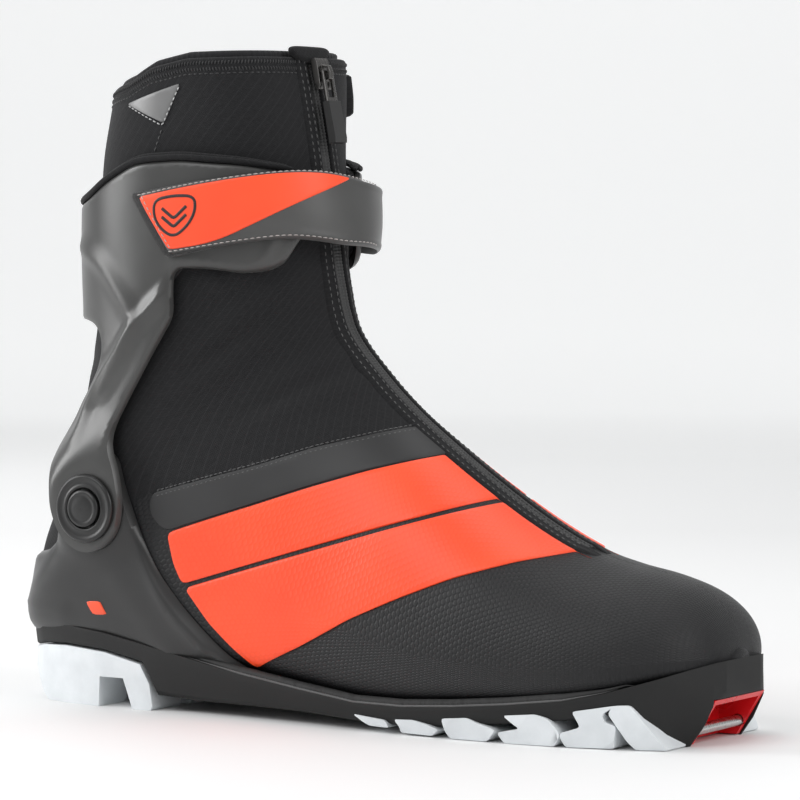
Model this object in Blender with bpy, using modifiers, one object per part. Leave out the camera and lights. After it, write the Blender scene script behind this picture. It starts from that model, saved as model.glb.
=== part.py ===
"""Cross country skate boot, right foot: sole with a toe bar, fabric upper, heel counter, hinged cuff,
strap and front zip.  Metres, +Z up, toe at +X, inner side of the foot at +Y, sole on Z = 0."""

import math

import bmesh
import bpy
import numpy as np
from mathutils import Matrix

MM = 0.001                       # the sizes below are millimetres
GAP = 0.3                        # air left between touching pieces

# ---- driving sizes ---------------------------------------------------------------------------------
PIVOT_X = -101.0                 # cuff hinge, an axis along Y
PIVOT_Z = 77.0
SIDE_REACH = 70.0                # half depth of a cutter that goes right through the boot
RING_COUNT = 24                  # points round one section of the boot
SKIN = 2.5                       # fabric shell
LINING = 3.0                     # padded lining
COUNTER = (GAP, 2.8)             # heel counter, inner and outer height over the fabric
PAD = (0.4, 2.9)                 # cuff padding
CUFF = (3.2, 5.8)                # cuff shell
CUFF_REAR = 3.0                  # how much further the cuff stands off at its back
STRAP = (8.5, 10.3)              # strap band
STRAP_FRONT = 5.0                # how much further the strap bridges off at the front
BOSS_FACE = 45.0                 # flat face that the cuff arm turns on, from the mid plane
ARM_FACE = 48.0                  # outer face of the cuff arm's eye
CAP_FACE = 51.6                  # outer face of the pivot cap
BAR_X = 142.9                    # toe bar
BAR_Z = 5.6
BAR_RADIUS = 2.0
GROOVE_Y = 14.0                  # guide grooves under the sole
GROOVE_WIDTH = 7.0
GROOVE_TOP = 6.6
LEAN = math.atan2(11.6, 61.5)    # how far the upper zip leans back from upright

# Sections of the fabric boot from the toe, round the ankle, to the collar.
# front x, z | back x, z | outer and inner half width | widest place | front and back squareness
SECTIONS = np.array([
    (152.5, 34.0, 152.5, 30.8, 6.0, 6.5, 0.70, 2.0, 2.4),
    (151.6, 38.5, 151.6, 30.4, 14.5, 15.5, 0.74, 2.1, 2.6),
    (148.8, 44.5, 148.8, 29.4, 23.0, 24.0, 0.76, 2.1, 2.8),
    (143.5, 50.3, 143.5, 27.2, 31.0, 31.0, 0.76, 2.1, 3.0),
    (135.0, 55.3, 135.0, 24.0, 37.5, 36.5, 0.76, 2.1, 3.2),
    (122.0, 59.3, 122.0, 20.2, 43.0, 41.0, 0.76, 2.1, 3.4),
    (106.0, 62.5, 106.0, 16.5, 46.5, 44.0, 0.76, 2.1, 3.5),
    (90.0, 67.3, 88.0, 14.2, 48.0, 45.5, 0.76, 2.1, 3.6),
    (71.0, 77.0, 66.0, 12.3, 48.5, 45.0, 0.76, 2.1, 3.6),
    (50.5, 90.0, 42.0, 10.3, 47.5, 42.5, 0.76, 2.1, 3.5),
    (34.0, 101.5, 18.0, 10.1, 45.5, 39.5, 0.74, 2.1, 3.4),
    (20.0, 112.0, -8.0, 13.1, 43.0, 37.0, 0.72, 2.0, 3.6),
    (9.0, 121.4, -36.0, 16.8, 41.0, 37.0, 0.68, 2.0, 3.6),
    (0.5, 129.8, -66.0, 22.2, 40.0, 38.5, 0.63, 2.0, 3.6),
    (-6.0, 136.8, -96.0, 27.6, 40.0, 39.5, 0.60, 2.0, 3.4),
    (-10.0, 142.0, -124.0, 30.3, 40.0, 40.0, 0.57, 2.0, 3.0),
    (-12.4, 146.3, -146.2, 32.0, 40.0, 40.0, 0.55, 2.0, 2.5),
    (-13.8, 150.2, -151.5, 41.0, 40.0, 40.0, 0.54, 2.0, 2.2),
    (-15.0, 154.2, -148.2, 54.0, 40.0, 40.0, 0.54, 2.0, 2.2),
    (-16.0, 158.8, -143.2, 68.0, 40.0, 40.0, 0.53, 2.0, 2.1),
    (-17.2, 164.4, -137.4, 84.0, 39.5, 39.5, 0.52, 2.0, 2.1),
    (-18.3, 171.0, -131.5, 102.0, 39.0, 39.0, 0.51, 2.0, 2.1),
    (-19.5, 179.5, -126.3, 122.0, 38.5, 38.8, 0.50, 2.1, 2.1),
    (-21.0, 189.5, -122.4, 143.0, 38.3, 39.2, 0.50, 2.2, 2.1),
    (-22.8, 201.0, -120.6, 165.0, 38.3, 40.2, 0.50, 2.35, 2.1),
    (-24.8, 213.0, -120.0, 187.0, 38.3, 41.2, 0.50, 2.5, 2.1),
    (-27.2, 226.0, -118.6, 208.0, 38.0, 42.0, 0.50, 2.65, 2.1),
    (-29.8, 238.5, -114.8, 226.0, 37.6, 42.6, 0.50, 2.75, 2.1),
    (-32.6, 251.0, -111.2, 241.5, 37.2, 43.0, 0.50, 2.8, 2.1),
])

# Sole stations from heel to toe.
# x | top z | bottom z | top half width outer, inner | bottom half width outer, inner
SOLE = np.array([
    (-151.5, 27.6, 22.0, 6.0, 6.0, 5.0, 5.0),
    (-150.0, 27.9, 20.6, 13.0, 13.0, 12.0, 12.0),
    (-145.5, 28.6, 20.2, 21.0, 21.0, 20.0, 20.0),
    (-137.0, 29.6, 22.0, 28.0, 28.0, 27.0, 27.0),
    (-122.0, 30.4, 22.8, 34.0, 34.0, 33.0, 33.0),
    (-102.0, 28.6, 21.6, 37.0, 36.5, 36.0, 35.5),
    (-83.0, 25.4, 18.0, 38.0, 36.5, 37.0, 35.0),
    (-77.0, 24.3, 6.0, 38.5, 36.0, 36.5, 33.5),
    (-58.0, 20.9, 5.0, 39.5, 35.5, 37.0, 32.0),
    (-36.0, 17.0, 5.0, 41.0, 35.5, 38.5, 32.5),
    (-8.0, 13.3, 4.6, 43.5, 37.5, 41.0, 35.0),
    (18.0, 10.4, 3.4, 46.5, 41.0, 44.5, 38.5),
    (40.0, 10.4, 3.2, 48.5, 43.5, 46.5, 41.5),
    (62.0, 11.9, 4.4, 49.5, 46.0, 47.5, 44.0),
    (84.0, 14.0, 7.0, 49.5, 46.8, 47.5, 44.8),
    (106.0, 16.6, 9.4, 47.8, 45.3, 46.0, 43.5),
    (120.0, 19.6, 11.8, 44.6, 42.4, 43.0, 41.0),
    (128.0, 22.0, 13.0, 42.0, 40.2, 41.0, 39.5),
    (131.0, 22.9, 1.0, 40.6, 39.2, 38.0, 37.0),
    (134.0, 23.8, 0.0, 39.2, 38.2, 36.0, 35.0),
    (139.0, 25.4, 0.0, 36.0, 35.4, 29.0, 29.0),
    (142.6, 26.7, 0.0, 32.8, 32.6, 22.0, 22.0),
    (147.5, 28.5, 6.5, 26.2, 26.6, 21.5, 21.5),
    (151.8, 30.0, 14.0, 19.0, 19.5, 20.0, 20.0),
    (153.8, 30.6, 19.0, 13.0, 13.0, 14.0, 14.0),
])

# Side view outlines, x and z.
COLLAR_RIM = [(40, 252), (-28, 247), (-44, 246.5), (-62, 246), (-78, 243), (-90, 238), (-112, 234),
              (-170, 228)]
ROOT_EDGE = [(99, 202.9), (-78, 91.5), (-92, 70), (-110, 64), (-170, 56)]
CUFF_EDGE = [(10, 233), (-76, 112), (-92, 100), (-112, 100), (-128, 120), (-170, 166)]
COUNTER_TOP = [(-170, 58), (-142, 57), (-126, 60), (-117, 68), (-115, 84), (-106, 91), (-98, 93), (-92, 90.5),
               (-86.5, 82), (-78, 63), (-72, 53), (-53, 32), (-33, 17.2)]
CUFF_OUTLINE = [(-150, 193), (-118, 193), (-104, 196), (-93, 202), (-80, 208), (-62, 208), (-40, 205.5),
                (-25, 202), (-24, 178), (-30, 166), (-52, 168), (-68, 169), (-66, 158), (-66, 150),
                (-76, 134),
                (-85, 120), (-91, 109), (-94, 97), (-112, 97), (-120, 106), (-112, 118), (-102, 127),
                (-98, 135), (-99, 143), (-108, 148), (-122, 149), (-150, 153)]
RIM_STRIP = [(-150, 193), (-118, 193), (-104, 196), (-93, 202), (-80, 208), (-62, 208), (-40, 205.5),
             (-26, 202.3), (-26, 204.9), (-40, 208.2), (-62, 210.8), (-81, 210.8), (-94.5, 204.6),
             (-105, 198.7), (-118, 195.6), (-150, 195.6)]
PAD_OUTLINE = [(-150, 193), (-118, 193), (-104, 196), (-93, 202), (-80, 208), (-62, 208), (-40, 205.5),
               (-26, 202), (-25, 179), (-31, 168), (-60, 170), (-70, 160), (-84, 150),
               (-108, 150), (-150, 155)]
STRAP_OUTLINE = [(-78, 197), (-64, 199.5), (-50, 201.5), (-32, 203.5), (-14, 205), (20, 206),
                 (20, 182), (-4, 181), (-17, 180), (-33, 178), (-48, 176.5), (-65, 174.5)]
UPPER_BAND = [(-69, 68.5), (-53, 73.5), (-30, 80.5), (-8, 87.5), (14, 94), (36, 99.5), (53, 104), (60, 98),
              (70, 88), (36, 77.5), (-6, 65.5), (-33, 57.8), (-62, 49.5), (-66, 57)]
LOWER_BAND = [(-61, 48), (-33, 56.2), (-6, 63.9), (36, 75.9), (74, 86.5), (84, 78), (99, 68), (78, 63.5),
              (58, 57.5), (37, 49.5), (15, 40.5), (-7, 29.5), (-30, 19.5), (-40, 27), (-50, 35.5)]
REFLECTOR = [(-91, 231), (-64, 239), (-72, 222)]
HEEL_TREAD = [(-149.4, 19.6), (-145.5, 19.4), (-137, 21.3), (-122, 22.2), (-102, 21), (-84.2, 17.4),
              (-80, 10),
              (-78.6, 1.5), (-79.5, 0), (-88, 0), (-92.5, 11.5), (-104, 11.5), (-104.5, 0), (-134, 0),
              (-140, 4.5), (-146, 12.5)]
LUGS = [(14, 26), (35, 47), (56, 69), (79, 92), (101, 112)]        # floor contact of each forefoot lug
TOE_LUG = (127.0, 136.0)                                          # floor contact of the slanted front lug


# ---- materials and collections ---------------------------------------------------------------------
def paint(name, colour, roughness, metallic=0.0):
    """A Principled material of one colour."""
    material = bpy.data.materials.new(name)
    material.use_nodes = True
    shader = material.node_tree.nodes["Principled BSDF"]
    shader.inputs["Base Color"].default_value = (*colour, 1.0)
    shader.inputs["Roughness"].default_value = roughness
    shader.inputs["Metallic"].default_value = metallic
    return material


def clear_scene():
    """Removes whatever the scene holds."""
    for thing in list(bpy.data.objects):
        bpy.data.objects.remove(thing, do_unlink=True)


def new_collection(name):
    collection = bpy.data.collections.new(name)
    bpy.context.scene.collection.children.link(collection)
    return collection


def add_object(name, mesh, collection, material=None):
    """Wraps a mesh in an object of its own."""
    thing = bpy.data.objects.new(name, mesh)
    collection.objects.link(thing)
    if material:
        mesh.materials.append(material)
    if collection is CUTTERS:
        thing.hide_render = True
        thing.display_type = "WIRE"
    return thing


def mesh_from(name, corners, faces):
    """A mesh with its normals turned outwards, from millimetre corners."""
    mesh = bpy.data.meshes.new(name)
    mesh.from_pydata([tuple(corner) for corner in np.asarray(corners) * MM], [], faces)
    work = bmesh.new()
    work.from_mesh(mesh)
    bmesh.ops.recalc_face_normals(work, faces=work.faces)
    work.to_mesh(mesh)
    work.free()
    return mesh


def smooth(thing, degrees=40.0):
    """Shades a piece smooth and keeps its real edges sharp."""
    thing.data.shade_smooth()
    thing.data.set_sharp_from_angle(angle=math.radians(degrees))


def boolean(thing, cutter, operation):
    modifier = thing.modifiers.new(operation.title(), "BOOLEAN")
    modifier.operation = operation
    modifier.solver = "EXACT"
    modifier.object = cutter


# ---- shared shapes ---------------------------------------------------------------------------------
def spline(rows, place):
    """Rows read at a fractional place, on a Catmull-Rom curve through them."""
    index = min(int(place), len(rows) - 2)
    part = place - index
    before = rows[max(index - 1, 0)]
    here = rows[index]
    after = rows[index + 1]
    beyond = rows[min(index + 2, len(rows) - 1)]
    square = part * part
    cube = square * part
    return 0.5 * (2.0 * here + (after - before) * part
                  + (2.0 * before - 5.0 * here + 4.0 * after - beyond) * square
                  + (3.0 * here - before - 3.0 * after + beyond) * cube)


def section_ring(place, out, front, rear):
    """One closed superellipse round the boot, grown by out, and more at its front or rear."""
    row = spline(SECTIONS, place)
    start = row[0:2]
    chord = row[2:4] - start
    length = np.linalg.norm(chord)
    chord = chord / length
    turn = 2.0 * math.pi * np.arange(RING_COUNT) / RING_COUNT
    cosine = np.cos(turn)
    sine = np.sin(turn)
    square = np.where(cosine > 0.0, row[7], row[8])
    radius = (np.abs(cosine) ** square + np.abs(sine) ** square) ** (-1.0 / square)
    half = np.where(sine > 0.0, row[4], row[5]) + out
    grown = length + 2.0 * out
    reach = np.where(cosine > 0.0, row[6] * grown + front, (1.0 - row[6]) * grown + rear)
    along = row[6] * grown - out - reach * radius * cosine
    return np.stack([start[0] + chord[0] * along, -half * radius * sine, start[1] + chord[1] * along], -1)


def boot_form(name, out, front=0.0, rear=0.0, overrun=0.2):
    """The whole boot as a closed loft, larger or smaller than the fabric by out.  A smaller form
    starts behind the toe tip, where its sections are still open, and overrun lengthens its ends."""
    rings = []
    for place in PLACES:
        row = spline(SECTIONS, place)
        height = math.hypot(row[2] - row[0], row[3] - row[1])
        if out < 0.0 and (height < 2.0 * abs(out) + 1.5 or row[4] < abs(out) + 2.0):
            continue
        rings.append(section_ring(place, out, front, rear))
    if out >= 0.0:
        rings.insert(0, rings[0] + (rings[0] - rings[1]) * overrun)
    rings.append(rings[-1] + (rings[-1] - rings[-2]) * overrun)
    corners = np.concatenate(rings)
    faces = []
    for ring in range(len(rings) - 1):
        for step in range(RING_COUNT):
            after = (step + 1) % RING_COUNT
            low = ring * RING_COUNT
            high = low + RING_COUNT
            faces.append((low + step, low + after, high + after))
            faces.append((low + step, high + after, high + step))
    faces.append(tuple(range(RING_COUNT)))
    faces.append(tuple(range(len(corners) - RING_COUNT, len(corners))))
    return mesh_from(name, corners, faces)


def outline_plate(name, outline, low, high, collection, material=None):
    """A side view outline in X and Z, extruded across the boot from low to high."""
    curve = bpy.data.curves.new(name, "CURVE")
    curve.dimensions = "2D"
    curve.fill_mode = "BOTH"
    curve.extrude = 0.5 * (high - low) * MM
    path = curve.splines.new("POLY")
    path.points.add(len(outline) - 1)
    for point, (x, z) in zip(path.points, outline):
        point.co = (x * MM, z * MM, 0.0, 1.0)
    path.use_cyclic_u = True
    holder = bpy.data.objects.new(name, curve)
    bpy.context.scene.collection.objects.link(holder)
    bpy.context.view_layer.update()
    flat = bpy.data.meshes.new_from_object(holder.evaluated_get(bpy.context.evaluated_depsgraph_get()))
    bpy.data.objects.remove(holder)
    middle = 0.5 * (low + high) * MM
    flat.transform(Matrix.Translation((0.0, middle, 0.0)) @ Matrix.Rotation(math.radians(90.0), 4, "X"))
    work = bmesh.new()
    work.from_mesh(flat)
    bmesh.ops.remove_doubles(work, verts=work.verts, dist=0.00001)
    bmesh.ops.recalc_face_normals(work, faces=work.faces)
    work.to_mesh(flat)
    work.free()
    return add_object(name, flat, collection, material)


def shell(name, inner, outer, outline, material, low=-SIDE_REACH, high=SIDE_REACH, front=0.0, rear=0.0):
    """A skin between two heights over the fabric, trimmed to a side view outline."""
    thing = add_object(name, boot_form(name, outer, front, rear), PARTS, material)
    core = add_object(name + "_core", boot_form(name + "_core", inner, front, rear, 0.6), CUTTERS)
    trim = outline_plate(name + "_trim", outline, low, high, CUTTERS)
    boolean(thing, core, "DIFFERENCE")
    boolean(thing, trim, "INTERSECT")
    smooth(thing)
    return thing


def turned(name, profile, y_side, collection, material=None, x=PIVOT_X, z=PIVOT_Z):
    """A profile of radius and distance from the mid plane, turned about an axis along Y.  The profile
    is listed outwards and turned the other way round, down its outer side."""
    mesh = bpy.data.meshes.new(name)
    corners = [(radius * MM, 0.0, reach * MM) for radius, reach in reversed(profile)]
    mesh.from_pydata(corners, [(step, step + 1) for step in range(len(corners) - 1)], [])
    thing = add_object(name, mesh, collection, material)
    screw = thing.modifiers.new("Turn", "SCREW")
    screw.steps = 32
    screw.render_steps = 32
    screw.use_merge_vertices = True
    screw.merge_threshold = 0.00001
    screw.use_smooth_shade = True
    thing.location = (x * MM, 0.0, z * MM)
    thing.rotation_euler = (math.radians(90.0 if y_side < 0 else -90.0), 0.0, 0.0)
    return thing


def box(name, low, high, collection, material=None):
    """An upright box between two corners."""
    work = bmesh.new()
    bmesh.ops.create_cube(work, size=1.0)
    size = (np.array(high) - np.array(low)) * MM
    middle = (np.array(high) + np.array(low)) * 0.5 * MM
    bmesh.ops.scale(work, vec=tuple(size), verts=work.verts)
    bmesh.ops.translate(work, vec=tuple(middle), verts=work.verts)
    mesh = bpy.data.meshes.new(name)
    work.to_mesh(mesh)
    work.free()
    return add_object(name, mesh, collection, material)


def shifted(outline, rise):
    """An outline moved up or down."""
    return [(x, z + rise) for x, z in outline]


def sole_line(column, rise=0.0, low=-200.0, high=200.0):
    """Points of one height column of the sole table, between two x limits."""
    return [(row[0], row[column] + rise) for row in SOLE if low <= row[0] <= high]


def footprint(name, inset, low, high, collection, first=0, last=None):
    """The sole's plan, drawn in by inset, as an upright block."""
    rows = SOLE[first:last]
    outer = [(row[0], -(row[5] - inset)) for row in rows]
    inner = [(row[0], row[6] - inset) for row in reversed(rows)]
    ring = outer + inner
    count = len(ring)
    corners = [(x, y, low) for x, y in ring] + [(x, y, high) for x, y in ring]
    faces = [tuple(range(count)), tuple(range(count, 2 * count))]
    for step in range(count):
        after = (step + 1) % count
        faces.append((step, after, after + count, step + count))
    return add_object(name, mesh_from(name, corners, faces), collection)


# ---- sole ------------------------------------------------------------------------------------------
def guide_groove(name, side, start, end, top):
    """Cutter for one of the two grooves that run on the binding's guide ridges."""
    middle = side * GROOVE_Y
    half = 0.5 * GROOVE_WIDTH
    return box(name, (start, middle - half, -2), (end, middle + half, top), CUTTERS)


def make_outsole(black):
    """The black sole: a loft between stations, hollowed for the upper, the bar and two guide grooves."""
    corners = []
    for x, top, bottom, outer_top, inner_top, outer_low, inner_low in SOLE:
        step = 0.5 * (top - bottom)
        waist = top - 0.6 * step
        heel = bottom + 0.2 * step
        corners += [(x, -outer_top, top), (x, -outer_top, waist), (x, -outer_low, heel)]
        corners += [(x, -outer_low + 1.5, bottom), (x, inner_low - 1.5, bottom)]
        corners += [(x, inner_low, heel), (x, inner_top, waist), (x, inner_top, top)]
    ring = 8
    faces = [tuple(range(ring)), tuple(range(len(corners) - ring, len(corners)))]
    for low in range(0, len(corners) - ring, ring):
        for step in range(ring):
            after = (step + 1) % ring
            faces.append((low + step, low + after, low + ring + after))
            faces.append((low + step, low + ring + after, low + ring + step))
    sole = add_object("outsole", mesh_from("outsole", corners, faces), PARTS, black)
    foot = add_object("outsole_foot", boot_form("outsole_foot", GAP), CUTTERS)
    boolean(sole, foot, "DIFFERENCE")
    socket = outline_plate("outsole_socket", [(133, -2), (160, -2), (160, 19.5), (154.6, 17.2), (133, 17.2)],
                           -19.3, 19.3, CUTTERS)
    boolean(sole, socket, "DIFFERENCE")
    for side in (-1, 1):
        groove = guide_groove(f"outsole_groove_{side}", side, -78, 16, GROOVE_TOP)
        boolean(sole, groove, "DIFFERENCE")
    smooth(sole)


def make_bar_housing(red):
    """The red liner of the toe cavity, open at the front and below."""
    housing = outline_plate("toe_bar_housing", [(133.3, 0.5), (142.4, 0.5), (152.6, 16.9), (133.3, 16.9)],
                            -19, 19, PARTS, red)
    mouth = [(135.2, -3), (165, -3), (165, 15), (135.2, 15)]
    hollow = outline_plate("housing_hollow", mouth, -16.8, 16.8, CUTTERS)
    boolean(housing, hollow, "DIFFERENCE")
    fit = BAR_RADIUS + GAP
    bore = turned("housing_bore", [(0, -18.4), (fit, -18.4), (fit, 18.4), (0, 18.4)],
                  -1, CUTTERS, x=BAR_X, z=BAR_Z)
    boolean(housing, bore, "DIFFERENCE")


def make_bar(steel):
    """The steel bar that the binding's jaw closes on."""
    end = 18.1
    bevel = 0.5
    profile = [(0, -end), (BAR_RADIUS - bevel, -end), (BAR_RADIUS, bevel - end), (BAR_RADIUS, end - bevel),
               (BAR_RADIUS - bevel, end), (0, end)]
    turned("toe_bar", profile, -1, PARTS, steel, x=BAR_X, z=BAR_Z)


def make_heel_tread(white):
    """The white heel block with its two feet and the guide grooves."""
    tread = outline_plate("heel_tread", HEEL_TREAD, -60, 60, PARTS, white)
    plan = footprint("heel_tread_plan", 0.0, -5, 40, CUTTERS, 0, 9)
    boolean(tread, plan, "INTERSECT")
    for side in (-1, 1):
        groove = guide_groove(f"tread_groove_{side}", side, -152, -70, GROOVE_TOP)
        boolean(tread, groove, "DIFFERENCE")


def make_forefoot_tread(white):
    """The white forefoot tread: a thin plate under the sole with lugs that reach the floor."""
    plate = 2.2
    under = [(x, z - GAP) for x, z in sole_line(2, low=18.0, high=120.0)]
    under.append((127.6, 12.6))
    lower = [(TOE_LUG[1] - 5.4, 0.9), (TOE_LUG[1] - 6.0, 0.0), (TOE_LUG[0] - 4.0, 0.0), (120.0, 9.0)]
    for start, end in reversed(LUGS):
        ceiling = float(np.interp(0.5 * (start + end), SOLE[:, 0], SOLE[:, 2]))
        slope = 0.5 * ceiling
        roof = max(ceiling - plate, 0.6)
        lower += [(end + slope, roof), (end, 0.0), (start, 0.0), (start, roof)]
    lower.append((12.0, 0.6))
    outline = [(12.0, 3.3 - GAP)] + under + lower
    tread = outline_plate("forefoot_tread", outline, -60, 60, PARTS, white)
    plan = footprint("forefoot_plan", 0.0, -5, 40, CUTTERS, 10, 20)
    boolean(tread, plan, "INTERSECT")
    for side in (-1, 1):
        groove = guide_groove(f"forefoot_groove_{side}", side, 5, 119, 0.9)
        boolean(tread, groove, "DIFFERENCE")


def make_lasting_board(tan):
    """The stiff board in the bottom of the upper, and the window that it fills."""
    band = [(x, z + 0.6) for x, z in INNER_FLOOR] + [(x, z + 1.9) for x, z in reversed(INNER_FLOOR)]
    board = outline_plate("lasting_board", band, -60, 60, PARTS, tan)
    plan = footprint("board_plan", 21.3, -5, 60, CUTTERS, 4, 17)
    boolean(board, plan, "INTERSECT")


def make_insole(grey):
    """The removable footbed."""
    lift = SKIN + LINING + 1.0
    band = [(x, z - 3.0) for x, z in INNER_FLOOR] + [(x, z + lift + 3.6) for x, z in reversed(INNER_FLOOR)]
    sole = add_object("insole", boot_form("insole", -lift), PARTS, grey)
    trim = outline_plate("insole_trim", band, -60, 60, CUTTERS)
    boolean(sole, trim, "INTERSECT")
    smooth(sole)


# ---- upper -----------------------------------------------------------------------------------------
def below(edge, rise=0.0):
    """Everything under an edge line."""
    return shifted(edge, rise) + [(-170, -20), (200, -20), (200, edge[0][1])]


def between(low_edge, high_edge):
    """The region between two edge lines, clear of both."""
    clear = 2.0 * GAP
    return shifted(high_edge, -clear) + list(reversed(shifted(low_edge, clear)))


def make_upper(black):
    """The lasted fabric shell of the foot, with the board's window in its bottom."""
    upper = shell("upper", -SKIN, 0.0, below(ROOT_EDGE), black)
    window = footprint("upper_window", 21.0, -5, 60, CUTTERS, 4, 17)
    band = [(x, z - 4.0) for x, z in INNER_FLOOR] + [(x, z + SKIN + 1.0) for x, z in reversed(INNER_FLOOR)]
    slab = outline_plate("upper_slab", band, -60, 60, CUTTERS)
    boolean(window, slab, "INTERSECT")
    boolean(upper, window, "DIFFERENCE")


def make_lining(grey):
    shell("foot_liner", -SKIN - GAP - LINING, -SKIN - GAP, below(ROOT_EDGE), grey)


def make_tongue(grey):
    """The padded tongue under the zip, inside the lining."""
    top = SKIN + LINING + 2.0 * GAP
    outline = [(78, 40), (78, 90), (-20, 150), (-20, 126.5), (20, 80)]
    tongue = shell("tongue", -top - 3.0, -top, outline, grey, -17.0, 17.0)
    root = outline_plate("tongue_root", below(ROOT_EDGE), -60, 60, CUTTERS)
    boolean(tongue, root, "INTERSECT")


def make_gusset(black):
    """The stretch fabric round the ankle, which folds as the cuff turns."""
    shell("ankle_gusset", -SKIN - GAP - LINING, 0.0, between(ROOT_EDGE, CUFF_EDGE), black)


def make_bands(orange):
    """Two coloured films on each side of the foot."""
    for side, low, high in (("lateral", -SIDE_REACH, -9.0), ("medial", 9.0, SIDE_REACH)):
        shell(f"side_band_upper_{side}", GAP, 0.9, UPPER_BAND, orange, low, high)
        shell(f"side_band_lower_{side}", GAP, 0.9, LOWER_BAND, orange, low, high)


def make_counter(plastic):
    """The heel counter with a flat boss for the cuff on each side."""
    counter = add_object("heel_counter", boot_form("heel_counter", COUNTER[1]), PARTS, plastic)
    for side in (-1, 1):
        stub = [(0, 20), (15, 20), (15, BOSS_FACE), (0, BOSS_FACE)]
        boss = turned(f"counter_boss_{side}", stub, side, CUTTERS)
        boolean(counter, boss, "UNION")
    core = add_object("counter_core", boot_form("counter_core", COUNTER[0], overrun=0.6), CUTTERS)
    boolean(counter, core, "DIFFERENCE")
    base = sole_line(1, 2.0 * GAP, high=-36.0)
    base[0] = (-170, base[0][1])
    trim = outline_plate("counter_trim", COUNTER_TOP + list(reversed(base)), -60, 60, CUTTERS)
    boolean(counter, trim, "INTERSECT")
    for side in (-1, 1):
        hole = turned(f"counter_hole_{side}", [(0, 42.0), (4.3, 42.0), (4.3, 55), (0, 55)], side, CUTTERS)
        boolean(counter, hole, "DIFFERENCE")
    smooth(counter)


def make_pivots(plastic, dark):
    """Each pivot: a ring on the cuff arm's eye and a capped rivet through it."""
    for side, name in ((-1, "lateral"), (1, "medial")):
        low = ARM_FACE + GAP
        ring = [(7.4, low), (13.0, low), (13.0, 49.4), (12.0, 50.2), (8.4, 50.2), (7.4, 49.4), (7.4, low)]
        turned(f"pivot_ring_{name}", ring, side, PARTS, plastic)
        cap = [(0, 42.4), (4.0, 42.4), (4.0, low), (7.0, low), (7.0, 50.6), (6.0, 51.3), (0, CAP_FACE)]
        turned(f"pivot_cap_{name}", cap, side, PARTS, dark)


# ---- zip -------------------------------------------------------------------------------------------
ZIP_REGION = [(97, 50), (97, 90), (60, 130), (20, 175), (-5, 255), (-50, 255), (-40, 160), (0, 100), (60, 60)]


def make_zip(fabric, coil):
    """Stitched cover strip and coil on the foot, across the ankle and on the collar."""
    regions = (("lower", below(ROOT_EDGE)), ("ankle", between(ROOT_EDGE, CUFF_EDGE)),
               ("upper", above(CUFF_EDGE)))
    for name, region in regions:
        for piece, heights, half, material in (("zip_placket", (GAP, 1.4), 9.0, fabric),
                                               ("zip_coil", (1.7, 2.8), 2.4, coil)):
            strip = shell(f"{piece}_{name}", heights[0], heights[1], ZIP_REGION, material, -half, half)
            trim = outline_plate(f"{piece}_{name}_region", region, -60, 60, CUTTERS)
            boolean(strip, trim, "INTERSECT")


def make_zip_ends(fabric):
    """The patch that closes the zip at the toe and the flap over its top end."""
    shell("zip_end_patch", GAP, 1.4, [(97.4, 55), (107, 55), (107, 85), (97.4, 85)], fabric, -9.0, 9.0)
    shell("zip_garage", GAP, 4.0, [(-60, 247.3), (0, 247.3), (0, 250.5), (-60, 250.5)], fabric, -8.5, 8.5)


def above(edge):
    """Everything over an edge line, under the collar's rim."""
    return list(COLLAR_RIM) + list(reversed(edge))


def along_zip(outline):
    """Turns an outline of distance off the zip and distance along it into X and Z.  The along
    distance is counted up from the slider's middle."""
    points = []
    for off, rise in outline:
        x = SLIDER[0] + off * math.cos(LEAN) - rise * math.sin(LEAN)
        z = SLIDER[1] + off * math.sin(LEAN) + rise * math.cos(LEAN)
        points.append((x, z))
    return points


def make_slider(steel, rubber):
    """The slider with its bridge, the pull frame on the bridge and the moulded grip."""
    plate = along_zip([(3.1, -6), (5.0, -6), (5.6, -4.5), (5.6, 4.5), (5.0, 6), (3.1, 6)])
    body = outline_plate("zip_slider", plate, -4.2, 4.2, PARTS, steel)
    arch = along_zip([(5.2, -3.5), (8.4, -2.5), (9.0, 0), (8.4, 2.5), (5.2, 3.5)])
    bridge = outline_plate("slider_bridge", arch, -1.3, 1.3, CUTTERS)
    boolean(body, bridge, "UNION")
    opening = along_zip([(5.75, -2.2), (7.75, -1.8), (7.75, 1.8), (5.75, 2.2)])
    eye = outline_plate("slider_eye", opening, -4, 4, CUTTERS)
    boolean(body, eye, "DIFFERENCE")
    frame = along_zip([(6.2, -12), (7.3, -12), (7.3, 0.8), (6.2, 0.8)])
    link = outline_plate("pull_link", frame, -3.6, 3.6, PARTS, steel)
    slot = along_zip([(4, -9.5), (10, -9.5), (10, -0.2), (4, -0.2)])
    window = outline_plate("link_window", slot, -2.0, 2.0, CUTTERS)
    boolean(link, window, "DIFFERENCE")
    handle = along_zip([(5.4, -27), (8.2, -27), (8.6, -25), (8.2, -11), (5.4, -11)])
    grip = outline_plate("pull_grip", handle, -4.0, 4.0, PARTS, rubber)
    socket = along_zip([(5.8, -12.4), (7.7, -12.4), (7.7, -8), (5.8, -8)])
    seat = outline_plate("grip_seat", socket, -3.95, 3.95, CUTTERS)
    boolean(grip, seat, "DIFFERENCE")


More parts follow.
